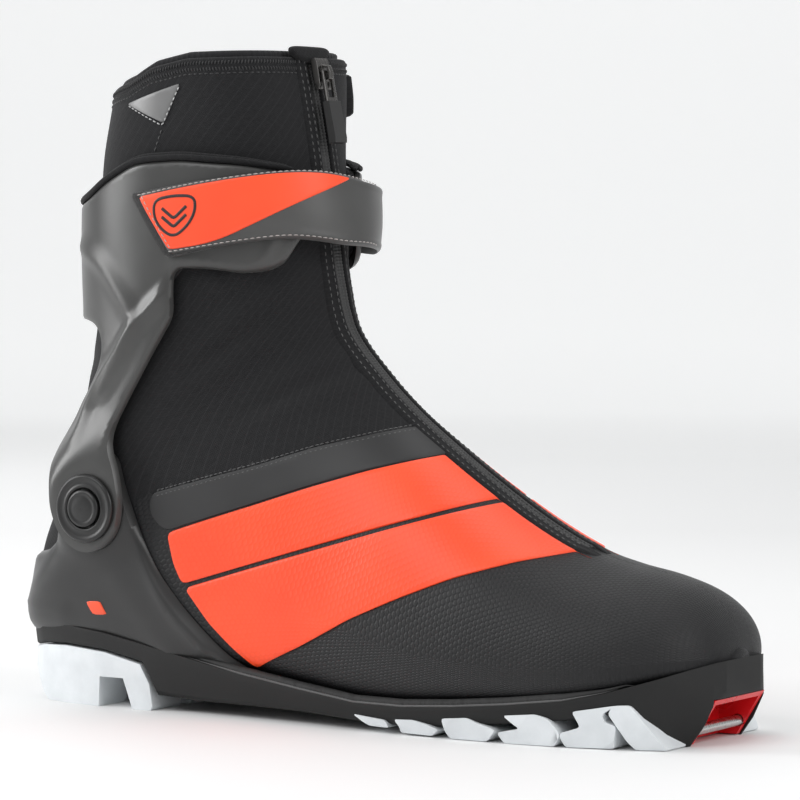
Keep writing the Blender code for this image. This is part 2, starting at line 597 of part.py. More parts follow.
# ---- cuff ------------------------------------------------------------------------------------------
def make_collar(black, grey):
    """The fabric collar and its padded lining, above the ankle."""
    shell("collar", -SKIN, 0.0, above(CUFF_EDGE), black)
    shell("collar_lining", -SKIN - GAP - LINING, -SKIN - GAP, above(CUFF_EDGE), grey)
    hem = COLLAR_RIM + list(reversed(shifted(COLLAR_RIM, -5.0)))
    band = shell("collar_hem", GAP, 1.2, hem, black)
    clear = box("hem_clear", (-60, -9.6, 220), (10, 9.6, 260), CUTTERS)
    boolean(band, clear, "DIFFERENCE")
    shell("pull_tab", 1.5, 5.5, [(-47, 243), (-36, 243.5), (-34, 225), (-46, 224)], black, 20.0, SIDE_REACH)


def make_cuff(plastic):
    """The plastic cuff: a shell with a wing and an arm each side, and a flat eye on each pivot."""
    cuff = shell("cuff", CUFF[0], CUFF[1], CUFF_OUTLINE, plastic, rear=CUFF_REAR)
    for side in (-1, 1):
        neck_low, neck_high = sorted((side * 43.6, side * ARM_FACE))
        outline = [(-116, 94), (-92, 94), (-89, 108), (-98, 118), (-116, 108)]
        neck = outline_plate(f"cuff_neck_{side}", outline, neck_low, neck_high, CUTTERS)
        boolean(cuff, neck, "UNION")
        low = BOSS_FACE + GAP
        eye = turned(f"cuff_eye_{side}", [(0, low), (15, low), (15, ARM_FACE), (0, ARM_FACE)], side, CUTTERS)
        boolean(cuff, eye, "UNION")
        stem_low, stem_high = sorted((side * low, side * ARM_FACE))
        stem = outline_plate(f"cuff_stem_{side}", [(-115.6, 80), (-87, 80), (-90, 96), (-115, 96)],
                             stem_low, stem_high, CUTTERS)
        boolean(cuff, stem, "UNION")
        hole = turned(f"cuff_hole_{side}", [(0, 30), (4.3, 30), (4.3, 60), (0, 60)], side, CUTTERS)
        boolean(cuff, hole, "DIFFERENCE")
    smooth(cuff)


def make_cuff_trim(foam, edge):
    """Padding inside the cuff and the soft piping on its top edge."""
    shell("cuff_pad", PAD[0], PAD[1], PAD_OUTLINE, foam)
    shell("cuff_edge_trim", PAD[0], CUFF[1], shifted(RIM_STRIP, 0.4), edge, rear=CUFF_REAR)


def make_strap(dark, orange, pile, steel):
    """Strap, its coloured film, the hook and loop pads, and the riveted anchor on the inner wing."""
    band = shell("strap_band", STRAP[0], STRAP[1], STRAP_OUTLINE, dark, front=STRAP_FRONT)
    cut = box("strap_cut", (-90, 0, 160), (-52, 60, 220), CUTTERS)
    boolean(band, cut, "DIFFERENCE")
    film = [(-76.5, 196), (-64, 198.2), (-50, 200.2), (-32, 202.2), (-16, 203.6), (-40, 184), (-63, 176.5)]
    shell("strap_film", STRAP[1] + GAP, STRAP[1] + 0.8, film, orange, -SIDE_REACH, -10.0, front=STRAP_FRONT)
    pad = [(-80, 196), (-52, 199), (-44, 178), (-66, 172)]
    shell("strap_hook_pad", 7.3, 8.2, pad, pile, -SIDE_REACH, -20.0)
    shell("cuff_loop_pad", CUFF[1] + GAP, 7.0, pad, pile, -SIDE_REACH, -20.0)
    anchor = [(-76, 197), (-53, 200), (-53, 176), (-66, 174.5)]
    plate = shell("strap_anchor", CUFF[1] + GAP, STRAP[0], anchor, dark, 20.0, SIDE_REACH)
    for name, x, z in (("upper", -63.0, 192.0), ("lower", -60.5, 182.0)):
        rivet = [(0, 46.0), (1.9, 46.0), (1.9, 50.0), (3.8, 50.0), (3.4, 50.9), (1.6, 51.2), (0, 51.2)]
        turned(f"strap_rivet_{name}", rivet, 1, PARTS, steel, x=x, z=z)
        profile = [(0, 45.7), (2.2, 45.7), (2.2, 60), (0, 60)]
        bore = turned(f"rivet_bore_{name}", profile, 1, CUTTERS, x=x, z=z)
        boolean(plate, bore, "DIFFERENCE")
        boolean(bpy.data.objects["cuff"], bore, "DIFFERENCE")


# ---- build -----------------------------------------------------------------------------------------
clear_scene()
PARTS = new_collection("cross_country_boot")
CUTTERS = new_collection("cutters")
PLACES = [0.0, 1.0, 2.0, 3.0, 4.0, 5.0, 6.0, 7.0, 8.0, 9.0, 10.0, 11.0, 12.0, 13.0, 14.0, 15.0, 15.6, 16.0,
          16.4,
          17.0, 18.0, 19.0, 20.0, 21.0, 22.0, 23.0, 24.0, 25.0, 26.0, 27.0, 28.0]
INNER_FLOOR = [(row[2], row[3]) for row in SECTIONS[16:1:-1]]
SLIDER = (-29.7, 240.5)

main_black = paint("upper_black", (0.02, 0.02, 0.021), 0.75)
lining_grey = paint("lining_grey", (0.05, 0.05, 0.055), 0.9)
sole_black = paint("sole_black", (0.018, 0.018, 0.018), 0.5)
tread_white = paint("tread_white", (0.72, 0.75, 0.77), 0.45)
liner_red = paint("liner_red", (0.75, 0.02, 0.02), 0.4)
bar_steel = paint("bar_steel", (0.6, 0.6, 0.6), 0.3, 1.0)
zip_steel = paint("zip_nickel", (0.25, 0.24, 0.22), 0.3, 1.0)
board_tan = paint("board_tan", (0.3, 0.22, 0.13), 0.8)
plastic_dark = paint("cuff_plastic", (0.04, 0.04, 0.038), 0.4)
cap_dark = paint("cap_plastic", (0.03, 0.03, 0.03), 0.35)
film_orange = paint("film_orange", (1.0, 0.1, 0.03), 0.4)
pile_black = paint("pile_black", (0.015, 0.015, 0.015), 1.0)
rubber_black = paint("grip_rubber", (0.02, 0.02, 0.02), 0.6)
reflect_grey = paint("reflector_grey", (0.25, 0.25, 0.25), 0.35)

make_outsole(sole_black)
make_bar_housing(liner_red)
make_bar(bar_steel)
make_heel_tread(tread_white)
make_forefoot_tread(tread_white)
make_lasting_board(board_tan)
make_insole(lining_grey)
make_upper(main_black)
make_lining(lining_grey)
make_tongue(lining_grey)
make_gusset(main_black)
make_bands(film_orange)
make_counter(plastic_dark)
make_pivots(plastic_dark, cap_dark)
make_zip(main_black, pile_black)
make_zip_ends(main_black)
make_slider(zip_steel, rubber_black)
make_collar(main_black, lining_grey)
make_cuff(plastic_dark)
make_cuff_trim(lining_grey, main_black)
make_strap(plastic_dark, film_orange, pile_black, zip_steel)
for side_name, side_low, side_high in (("lateral", -SIDE_REACH, -10.0), ("medial", 10.0, SIDE_REACH)):
    shell(f"reflector_{side_name}", GAP, 0.8, REFLECTOR, reflect_grey, side_low, side_high)
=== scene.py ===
import math

import bpy
import numpy as np
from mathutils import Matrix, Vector
from mathutils.geometry import delaunay_2d_cdt


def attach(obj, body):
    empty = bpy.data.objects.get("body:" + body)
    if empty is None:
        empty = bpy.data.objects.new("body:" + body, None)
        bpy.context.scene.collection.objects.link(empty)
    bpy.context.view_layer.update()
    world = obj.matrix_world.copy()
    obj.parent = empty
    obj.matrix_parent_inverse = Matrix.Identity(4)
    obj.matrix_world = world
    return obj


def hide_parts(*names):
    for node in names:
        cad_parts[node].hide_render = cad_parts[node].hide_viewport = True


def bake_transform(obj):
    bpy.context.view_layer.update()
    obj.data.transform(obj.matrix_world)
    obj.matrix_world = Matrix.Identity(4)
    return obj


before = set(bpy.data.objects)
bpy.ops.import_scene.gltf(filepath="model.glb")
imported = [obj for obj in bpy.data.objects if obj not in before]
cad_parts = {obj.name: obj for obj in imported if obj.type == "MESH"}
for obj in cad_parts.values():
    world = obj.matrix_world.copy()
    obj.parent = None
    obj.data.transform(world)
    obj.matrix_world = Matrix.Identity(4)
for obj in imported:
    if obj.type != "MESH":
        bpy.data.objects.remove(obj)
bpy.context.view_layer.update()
mm = 0.001
print("frame loaded with", len(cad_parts), "nodes")

# The boot's sections from the toe, round the ankle, to the collar, in millimetres:
# front x, z, back x, z, outer and inner half width, widest place, front and back squareness
sections = np.array([
    (152.5, 34.0, 152.5, 30.8, 6.0, 6.5, 0.70, 2.0, 2.4),
    (151.6, 38.5, 151.6, 30.4, 14.5, 15.5, 0.74, 2.1, 2.6),
    (148.8, 44.5, 148.8, 29.4, 23.0, 24.0, 0.76, 2.1, 2.8),
    (143.5, 50.3, 143.5, 27.2, 31.0, 31.0, 0.76, 2.1, 3.0),
    (135.0, 55.3, 135.0, 24.0, 37.5, 36.5, 0.76, 2.1, 3.2),
    (122.0, 59.3, 122.0, 20.2, 43.0, 41.0, 0.76, 2.1, 3.4),
    (106.0, 62.5, 106.0, 16.5, 46.5, 44.0, 0.76, 2.1, 3.5),
    (90.0, 67.3, 88.0, 14.2, 48.0, 45.5, 0.76, 2.1, 3.6),
    (71.0, 77.0, 66.0, 12.3, 48.5, 45.0, 0.76, 2.1, 3.6),
    (50.5, 90.0, 42.0, 10.3, 47.5, 42.5, 0.76, 2.1, 3.5),
    (34.0, 101.5, 18.0, 10.1, 45.5, 39.5, 0.74, 2.1, 3.4),
    (20.0, 112.0, -8.0, 13.1, 43.0, 37.0, 0.72, 2.0, 3.6),
    (9.0, 121.4, -36.0, 16.8, 41.0, 37.0, 0.68, 2.0, 3.6),
    (0.5, 129.8, -66.0, 22.2, 40.0, 38.5, 0.63, 2.0, 3.6),
    (-6.0, 136.8, -96.0, 27.6, 40.0, 39.5, 0.60, 2.0, 3.4),
    (-10.0, 142.0, -124.0, 30.3, 40.0, 40.0, 0.57, 2.0, 3.0),
    (-12.4, 146.3, -146.2, 32.0, 40.0, 40.0, 0.55, 2.0, 2.5),
    (-13.8, 150.2, -151.5, 41.0, 40.0, 40.0, 0.54, 2.0, 2.2),
    (-15.0, 154.2, -148.2, 54.0, 40.0, 40.0, 0.54, 2.0, 2.2),
    (-16.0, 158.8, -143.2, 68.0, 40.0, 40.0, 0.53, 2.0, 2.1),
    (-17.2, 164.4, -137.4, 84.0, 39.5, 39.5, 0.52, 2.0, 2.1),
    (-18.3, 171.0, -131.5, 102.0, 39.0, 39.0, 0.51, 2.0, 2.1),
    (-19.5, 179.5, -126.3, 122.0, 38.5, 38.8, 0.50, 2.1, 2.1),
    (-21.0, 189.5, -122.4, 143.0, 38.3, 39.2, 0.50, 2.2, 2.1),
    (-22.8, 201.0, -120.6, 165.0, 38.3, 40.2, 0.50, 2.35, 2.1),
    (-24.8, 213.0, -120.0, 187.0, 38.3, 41.2, 0.50, 2.5, 2.1),
    (-27.2, 226.0, -118.6, 208.0, 38.0, 42.0, 0.50, 2.65, 2.1),
    (-29.8, 238.5, -114.8, 226.0, 37.6, 42.6, 0.50, 2.75, 2.1),
    (-32.6, 251.0, -111.2, 241.5, 37.2, 43.0, 0.50, 2.8, 2.1),
])
# the lower edge of the foot is squarer than the ankle, so that the wall stands on the sole
sections[:17, 8] = [2.8, 3.2, 3.7, 4.3, 4.9, 5.4, 5.8, 6.0, 6.0, 6.0, 6.0, 6.0, 5.8, 5.4, 4.8, 4.0, 3.0]
# and the toe sits down into the rubber block
sections[:6, 3] -= [2.6, 2.6, 2.4, 1.9, 1.3, 0.6]
lastPlace = len(sections) - 1.0
pivot = np.array([-101.0, 77.0])  # where the cuff turns, in side view
collarRim = [(60, 253), (0, 249.5), (-28, 247), (-44, 246.5), (-62, 246), (-78, 243), (-90, 238), (-112, 234),
             (-170, 228)]  # the collar's top edge in side view, from the front to the back


def readRows(place):
    # Catmull-Rom curve through the section rows, read at fractional places
    index = np.clip(np.floor(place).astype(int), 0, len(sections) - 2)
    part = (place - index)[..., None]
    before = sections[np.maximum(index - 1, 0)]
    here = sections[index]
    after = sections[index + 1]
    beyond = sections[np.minimum(index + 2, len(sections) - 1)]
    return 0.5 * (2 * here + (after - before) * part
                  + (2 * before - 5 * here + 4 * after - beyond) * part ** 2
                  + (3 * here - before - 3 * after + beyond) * part ** 3)


def bootPoint(turn, place, out=0.0, front=0.0, rear=0.0):
    # a superellipse about each section's chord, grown by out; turn 0 is the front, a half turn the back
    turn, place, out = np.broadcast_arrays(np.asarray(turn, float), np.asarray(place, float), out)
    rear = rear(place) if callable(rear) else rear
    row = readRows(place)
    chordX = row[..., 2] - row[..., 0]
    chordZ = row[..., 3] - row[..., 1]
    length = np.hypot(chordX, chordZ)
    cosine = np.cos(turn)
    sine = np.sin(turn)
    square = np.where(cosine > 0, row[..., 7], row[..., 8])
    radius = (np.abs(cosine) ** square + np.abs(sine) ** square) ** (-1 / square)
    half = np.where(sine > 0, row[..., 4], row[..., 5]) + out
    grown = length + 2 * out
    reach = np.where(cosine > 0, row[..., 6] * grown + front, (1 - row[..., 6]) * grown + rear)
    along = row[..., 6] * grown - out - reach * radius * cosine
    return np.stack([row[..., 0] + chordX / length * along, -half * radius * sine,
                     row[..., 1] + chordZ / length * along], -1)


fanPlace = np.linspace(0, lastPlace + 0.6, 573)
fanRows = readRows(fanPlace)
spineX = 0.5 * (fanRows[:, 0] + fanRows[:, 2])
spineZ = 0.5 * (fanRows[:, 1] + fanRows[:, 3])
spineLength = np.concatenate([[0], np.cumsum(np.hypot(np.diff(spineX), np.diff(spineZ)))])
girthScale = 42.0


def onSurface(points, side=1):
    # side view points to turn and place: the chord of the fan that passes through the point, then
    # the superellipse solved for the turn; side 1 is the outer side and -1 the inner side
    points = np.asarray(points, float)
    x, z = points[:, :1], points[:, 1:]
    chordX = fanRows[:, 2] - fanRows[:, 0]
    chordZ = fanRows[:, 3] - fanRows[:, 1]
    length = np.hypot(chordX, chordZ)
    cross = (x - fanRows[:, 0]) * chordZ - (z - fanRows[:, 1]) * chordX
    cross = cross / length
    share = ((x - fanRows[:, 0]) * chordX + (z - fanRows[:, 1]) * chordZ) / length ** 2
    flips = (cross[:, :-1] * cross[:, 1:]) <= 0
    score = np.where(flips, np.abs(share[:, :-1] - 0.5), 1e9)
    pick = np.argmin(score, 1)
    take = np.arange(len(points))
    low, high = cross[take, pick], cross[take, pick + 1]
    part = np.where(np.abs(low - high) > 1e-12, low / (low - high + 1e-15), 0)
    place = fanPlace[pick] + part * (fanPlace[pick + 1] - fanPlace[pick])
    along = share[take, pick] + part * (share[take, pick + 1] - share[take, pick])
    row = readRows(place)
    fromWidest = row[:, 6] - along
    across = np.where(fromWidest > 0, fromWidest / row[:, 6], fromWidest / (1 - row[:, 6]))
    across = np.clip(across, -1, 1)
    square = np.where(across > 0, row[:, 7], row[:, 8])
    wide = (1 - np.abs(across) ** square) ** (1 / square)
    return np.arctan2(side * wide, across), place, along


def roundLine(points, radius, closed=False, pieces=7):
    # each corner becomes a quadratic arc that starts at most radius before it
    points = [np.asarray(p, float) for p in points]
    made = []
    count = len(points)
    for i, here in enumerate(points):
        if not closed and i in (0, count - 1):
            made.append(here)
            continue
        before, after = points[i - 1], points[(i + 1) % count]
        start = here + (before - here) * min(0.5, radius / (np.linalg.norm(before - here) + 1e-9))
        end = here + (after - here) * min(0.5, radius / (np.linalg.norm(after - here) + 1e-9))
        for t in np.linspace(0, 1, pieces):
            made.append((1 - t) ** 2 * start + 2 * t * (1 - t) * here + t * t * end)
    return np.array(made)


def evenly(points, step, closed=False):
    # the same line with its points step apart
    points = np.asarray(points, float)
    if closed:
        points = np.concatenate([points, points[:1]])
    gaps = np.linalg.norm(np.diff(points, axis=0), axis=1)
    keep = np.concatenate([[True], gaps > 1e-7])
    points = points[keep]
    length = np.concatenate([[0], np.cumsum(np.linalg.norm(np.diff(points, axis=0), axis=1))])
    count = max(int(round(length[-1] / step)), 2)
    at = np.linspace(0, length[-1], count + 1)
    if closed:
        at = at[:-1]
    return np.stack([np.interp(at, length, points[:, k]) for k in range(points.shape[1])], -1)


def toFlat(turn, place):
    return np.stack([turn * girthScale, np.interp(place, fanPlace, spineLength)], -1)


def fromFlat(flat):
    return flat[:, 0] / girthScale, np.interp(flat[:, 1], spineLength, fanPlace)


def sideLoop(outline, side, radius=2.0):
    # a closed outline drawn in side view, laid on one side of the boot
    line = evenly(roundLine(outline, radius, True), 0.5, True)
    turn, place, along = onSurface(line, side)
    return toFlat(turn, place)


def openLine(outline, side, radius, step=0.5, share=0.996):
    # the part of a side view line that lies on the boot, as turn and place
    turn, place, along = onSurface(evenly(roundLine(outline, radius), step), side)
    kept = (along > 0.004) & (along < share)
    return turn[kept], place[kept]


def keepOffZip(loop, gap):
    # moves the loop's points that lie closer than gap to the mid plane out to it
    turn, place = fromFlat(loop)
    row = readRows(place)
    side = np.sign(turn[np.argmax(np.abs(turn))])
    wide = gap / (row[:, 4] if side > 0 else row[:, 5])
    least = np.arctan2(wide, (1 - wide ** row[:, 7]) ** (1 / row[:, 7]))
    return toFlat(side * np.maximum(np.abs(turn), least), place)


def wrapLoop(outline, radius=2.0):
    # an open side view line whose two ends lie on the boot's back, closed round it: first along the
    # outer side, then back along the inner side
    halves = []
    for side in (1, -1):
        turn, place = openLine(outline, side, radius)
        turn = np.concatenate([[side * math.pi], turn, [side * math.pi]])
        place = np.concatenate([place[:1], place, place[-1:]])
        halves.append(toFlat(turn + (2 * math.pi if side < 0 else 0), place))
    return np.concatenate([halves[0], halves[1][::-1]])


def inside(points, loop):
    # even-odd test of many points against one loop
    x, y = points[:, :1], points[:, 1:]
    x0, y0 = loop[:, 0], loop[:, 1]
    x1, y1 = np.roll(x0, -1), np.roll(y0, -1)
    crossing = ((y0 <= y) != (y1 <= y)) & (x < (x1 - x0) * (y - y0) / (y1 - y0 + 1e-15) + x0)
    return (crossing.sum(1) % 2) == 1


def lineDistance(points, line, closed=False):
    # shortest distance of each point to a line of segments, in two or three dimensions
    ends = np.roll(line, -1, 0) if closed else line[1:]
    starts = line if closed else line[:-1]
    span = ends - starts
    size = (span ** 2).sum(-1) + 1e-12
    found = np.empty(len(points))
    for low in range(0, len(points), 1500):
        part = points[low:low + 1500, None, :] - starts
        t = np.clip((part * span).sum(-1) / size, 0, 1)
        found[low:low + 1500] = np.sqrt(((part - t[..., None] * span) ** 2).sum(-1)).min(1)
    return found


def smoothStep(low, high, value):
    t = np.clip((value - low) / (high - low), 0, 1)
    return t * t * (3 - 2 * t)


def asTuples(faces):
    return [tuple(f) for f in np.asarray(faces).tolist()]


def newPiece(name, points, faces, material, uv=None, sharp=45.0):
    mesh = bpy.data.meshes.new(name)
    if isinstance(faces, np.ndarray):
        faces = asTuples(faces)
    mesh.from_pydata((np.asarray(points) * mm).tolist(), [], faces)
    mesh.validate()
    if uv is not None:
        layer = mesh.uv_layers.new(name="cloth")
        index = np.empty(len(mesh.loops), np.int32)
        mesh.loops.foreach_get("vertex_index", index)
        layer.data.foreach_set("uv", np.asarray(uv, np.float32)[index].ravel())
    mesh.shade_smooth()
    mesh.set_sharp_from_angle(angle=math.radians(sharp))
    mesh.materials.append(material)
    piece = bpy.data.objects.new(name, mesh)
    bpy.context.scene.collection.objects.link(piece)
    return piece


def gridFaces(rows, columns, closeColumns=True, closeRows=False):
    # quads of a grid whose columns, and rows if wanted, close on themselves
    r = np.arange(rows if closeRows else rows - 1)
    c = np.arange(columns if closeColumns else columns - 1)
    r, c = np.meshgrid(r, c, indexing="ij")
    r2, c2 = (r + 1) % rows, (c + 1) % columns
    corners = [r * columns + c, r * columns + c2, r2 * columns + c2, r2 * columns + c]
    return np.stack(corners, -1).reshape(-1, 4)


def faceOut(points, faces, outward):
    # turns every face round when most of them look against outward, a vector for each point
    points = np.asarray(points)
    a, b, c = points[faces[:, 0]], points[faces[:, 1]], points[faces[:, 2]]
    look = (np.cross(b - a, c - a) * outward[faces[:, 0]]).sum()
    return faces if look > 0 else faces[:, ::-1]


def twoSheets(faces, count):
    # a sheet, its twin turned the other way with points count later, and quads along their shared border
    directed = np.concatenate([faces[:, [0, 1]], faces[:, [1, 2]], faces[:, [2, 0]]])
    first, times = np.unique(np.sort(directed, 1), axis=0, return_index=True, return_counts=True)[1:]
    rim = [(int(b), int(a), int(a) + count, int(b) + count) for a, b in directed[first[times == 1]]]
    return asTuples(faces) + asTuples(faces[:, ::-1] + count) + rim


def cappedRings(points, rings, columns, outward):
    # the side quads of a run of rings and a cap on each end, all facing outwards
    faces = asTuples(faceOut(points, gridFaces(rings, columns), outward))
    turned = faces[0][0] != 0 or faces[0][1] != 1
    first, last = tuple(range(columns)), tuple(range(len(points) - columns, len(points)))
    return faces + [first if turned else first[::-1], last[::-1] if turned else last]


def ribbon(top, bottom):
    # a closed band between an upper and a lower grid of points
    rings = np.concatenate([top, bottom[:, ::-1]], 1)
    points = rings.reshape(-1, 3)
    outward = (rings - rings.mean(1, keepdims=True)).reshape(-1, 3)
    return points, cappedRings(points, len(rings), rings.shape[1], outward)


def trimmedSkin(name, loop, material, low, high, step=1.6, edge=0.8, front=0.0, rear=0.0, shape=None,
                lift=None):
    # a skin between the heights low and high over the fabric, cut to a loop; its outer edge is
    # rounded over the distance edge, lift adds height, and shape moves finished points
    loop = evenly(loop, 1.1, True)
    lowCorner, highCorner = loop.min(0) - step, loop.max(0) + step
    gridX, gridY = np.meshgrid(np.arange(lowCorner[0], highCorner[0], step),
                               np.arange(lowCorner[1], highCorner[1], step * 0.87))
    gridX[1::2] += step / 2
    grid = np.stack([gridX.ravel(), gridY.ravel()], -1)
    grid = grid[inside(grid, loop)]
    grid = grid[lineDistance(grid, loop, True) > max(0.75 * step, 1.4 * edge)]
    tangent = np.roll(loop, -1, 0) - np.roll(loop, 1, 0)
    normal = np.stack([-tangent[:, 1], tangent[:, 0]], -1) / (np.linalg.norm(tangent, axis=1)[:, None] + 1e-9)
    inset = []
    for depth in (0.3 * edge, 0.95 * edge):
        for sign in (1, -1):
            moved = loop + sign * depth * normal
            moved = moved[inside(moved, loop)]
            inset.append(moved[lineDistance(moved, loop, True) > 0.8 * depth])
    flat = np.concatenate([loop, *inset, grid])
    edges = [(i, (i + 1) % len(loop)) for i in range(len(loop))]
    made = delaunay_2d_cdt([tuple(p) for p in flat], edges, [], 1, 1e-5)
    flat = np.array([tuple(p) for p in made[0]])
    turn, place = fromFlat(flat)
    solid = bootPoint(turn, place, high, front, rear)
    depth = lineDistance(solid, bootPoint(*fromFlat(loop), high, front, rear), True)
    rise = np.sqrt(np.clip(1 - (1 - np.minimum(depth / edge, 1)) ** 2, 0, 1))
    height = low + (high - low) * (0.15 + 0.85 * rise)
    if lift is not None:
        height = height + lift(solid, turn, place, depth) * np.minimum(depth / edge, 1)
    outer = bootPoint(turn, place, height, front, rear)
    inner = bootPoint(turn, place, low, front, rear)
    if shape is not None:
        outer, inner = shape(outer, inner, turn, place, rise)
    outward = bootPoint(turn, place, high + 1, front, rear) - bootPoint(turn, place, high, front, rear)
    faces = faceOut(outer, np.array([tuple(f) for f in made[2]]), outward)
    points = np.concatenate([outer, inner])
    return newPiece(name, points, twoSheets(faces, len(flat)), material, np.concatenate([flat, flat]))


def tubeMesh(path, radius, sides=8, closed=False, flatten=1.0, normals=None):
    # a round profile carried along a path; flatten squeezes it along the surface's normal
    path = np.asarray(path, float)
    tangent = np.roll(path, -1, 0) - np.roll(path, 1, 0)
    if not closed:
        tangent[0] = path[1] - path[0]
        tangent[-1] = path[-1] - path[-2]
    tangent /= np.linalg.norm(tangent, axis=1)[:, None] + 1e-12
    if normals is None:
        normals = np.tile([0.13, -0.4, 0.9], (len(path), 1))
    normals = normals - (normals * tangent).sum(-1)[:, None] * tangent
    normals /= np.linalg.norm(normals, axis=1)[:, None] + 1e-12
    across = np.cross(tangent, normals)
    angle = 2 * math.pi * np.arange(sides) / sides
    radius = np.broadcast_to(radius, (len(path),))
    ring = (path[:, None] + radius[:, None, None] * (np.cos(angle)[None, :, None] * across[:, None]
            + flatten * np.sin(angle)[None, :, None] * normals[:, None]))
    points = ring.reshape(-1, 3)
    outward = (ring - path[:, None]).reshape(-1, 3)
    if closed:
        return points, asTuples(faceOut(points, gridFaces(len(path), sides, True, True), outward))
    return points, cappedRings(points, len(path), sides, outward)


def joinMeshes(parts):
    # many meshes as one list of points and one of faces
    points, faces, start = [], [], 0
    for one, its in parts:
        points.append(one)
        faces += [tuple(i + start for i in f) for f in its]
        start += len(one)
    return np.concatenate(points), faces


def surfaceLine(points, side, height, step=0.6, radius=3.0, closed=False, front=0.0, rear=0.0):
    # a side view line laid on the boot, with the surface's normals
    line = evenly(roundLine(points, radius, closed), step, closed)
    turn, place, along = onSurface(line, side)
    return laidOn(turn, place, height, front, rear)


def laidOn(turn, place, height, front=0.0, rear=0.0):
    path = bootPoint(turn, place, height, front, rear)
    normal = bootPoint(turn, place, height + 1, front, rear) - path
    return path, normal / (np.linalg.norm(normal, axis=1)[:, None] + 1e-12)


stitch = {"sides": 6, "rings": 5}  # how finely one stitch is made


def readAlong(data, walked, at):
    # a line's values at chosen lengths along it
    return np.stack([np.interp(at, walked, data[:, k]) for k in range(3)], -1)


def stitchMesh(rows):
    # each row is (path, normals, pitch, length, radius, slant): one bent capsule for each stitch,
    # its two ends dipping into the cloth
    parts = []
    rings = np.linspace(-1, 1, stitch["rings"])
    angle = 2 * math.pi * np.arange(stitch["sides"]) / stitch["sides"]
    girth = np.sqrt(np.clip(1 - (rings * 0.93) ** 2, 0, 1))
    for path, normals, pitch, length, radius, slant in rows:
        walked = np.concatenate([[0], np.cumsum(np.linalg.norm(np.diff(path, axis=0), axis=1))])
        count = max(int(walked[-1] / pitch), 1)
        at = (np.arange(count) + 0.5) * walked[-1] / count
        centre = readAlong(path, walked, at)
        along = readAlong(path, walked, at + 0.2) - readAlong(path, walked, at - 0.2)
        along /= np.linalg.norm(along, axis=1)[:, None] + 1e-12
        up = readAlong(normals, walked, at)
        up /= np.linalg.norm(up, axis=1)[:, None] + 1e-12
        across = np.cross(up, along)
        along = math.cos(slant) * along + math.sin(slant) * across
        across = np.cross(up, along)
        body = (centre[:, None, None] + along[:, None, None] * (rings * length / 2)[None, :, None, None]
                + across[:, None, None] * (radius * girth[:, None] * np.cos(angle))[None, :, :, None]
                + up[:, None, None] * (radius * girth[:, None] * np.sin(angle)
                                       - radius * 1.1 * (rings ** 2)[:, None])[None, :, :, None])
        size = stitch["rings"] * stitch["sides"]
        outward = (body[0] - centre[0]).reshape(-1, 3)
        one = cappedRings(body[0].reshape(-1, 3), stitch["rings"], stitch["sides"], outward)
        faces = [tuple(i + k * size for i in f) for k in range(count) for f in one]
        parts.append((body.reshape(-1, 3), faces))
    return joinMeshes(parts)


def stitches(name, rows, material, body, slotName):
    points, faces = stitchMesh(rows)
    piece = newPiece(name, points, faces, material)
    settle(piece, body, slotName)
    return piece


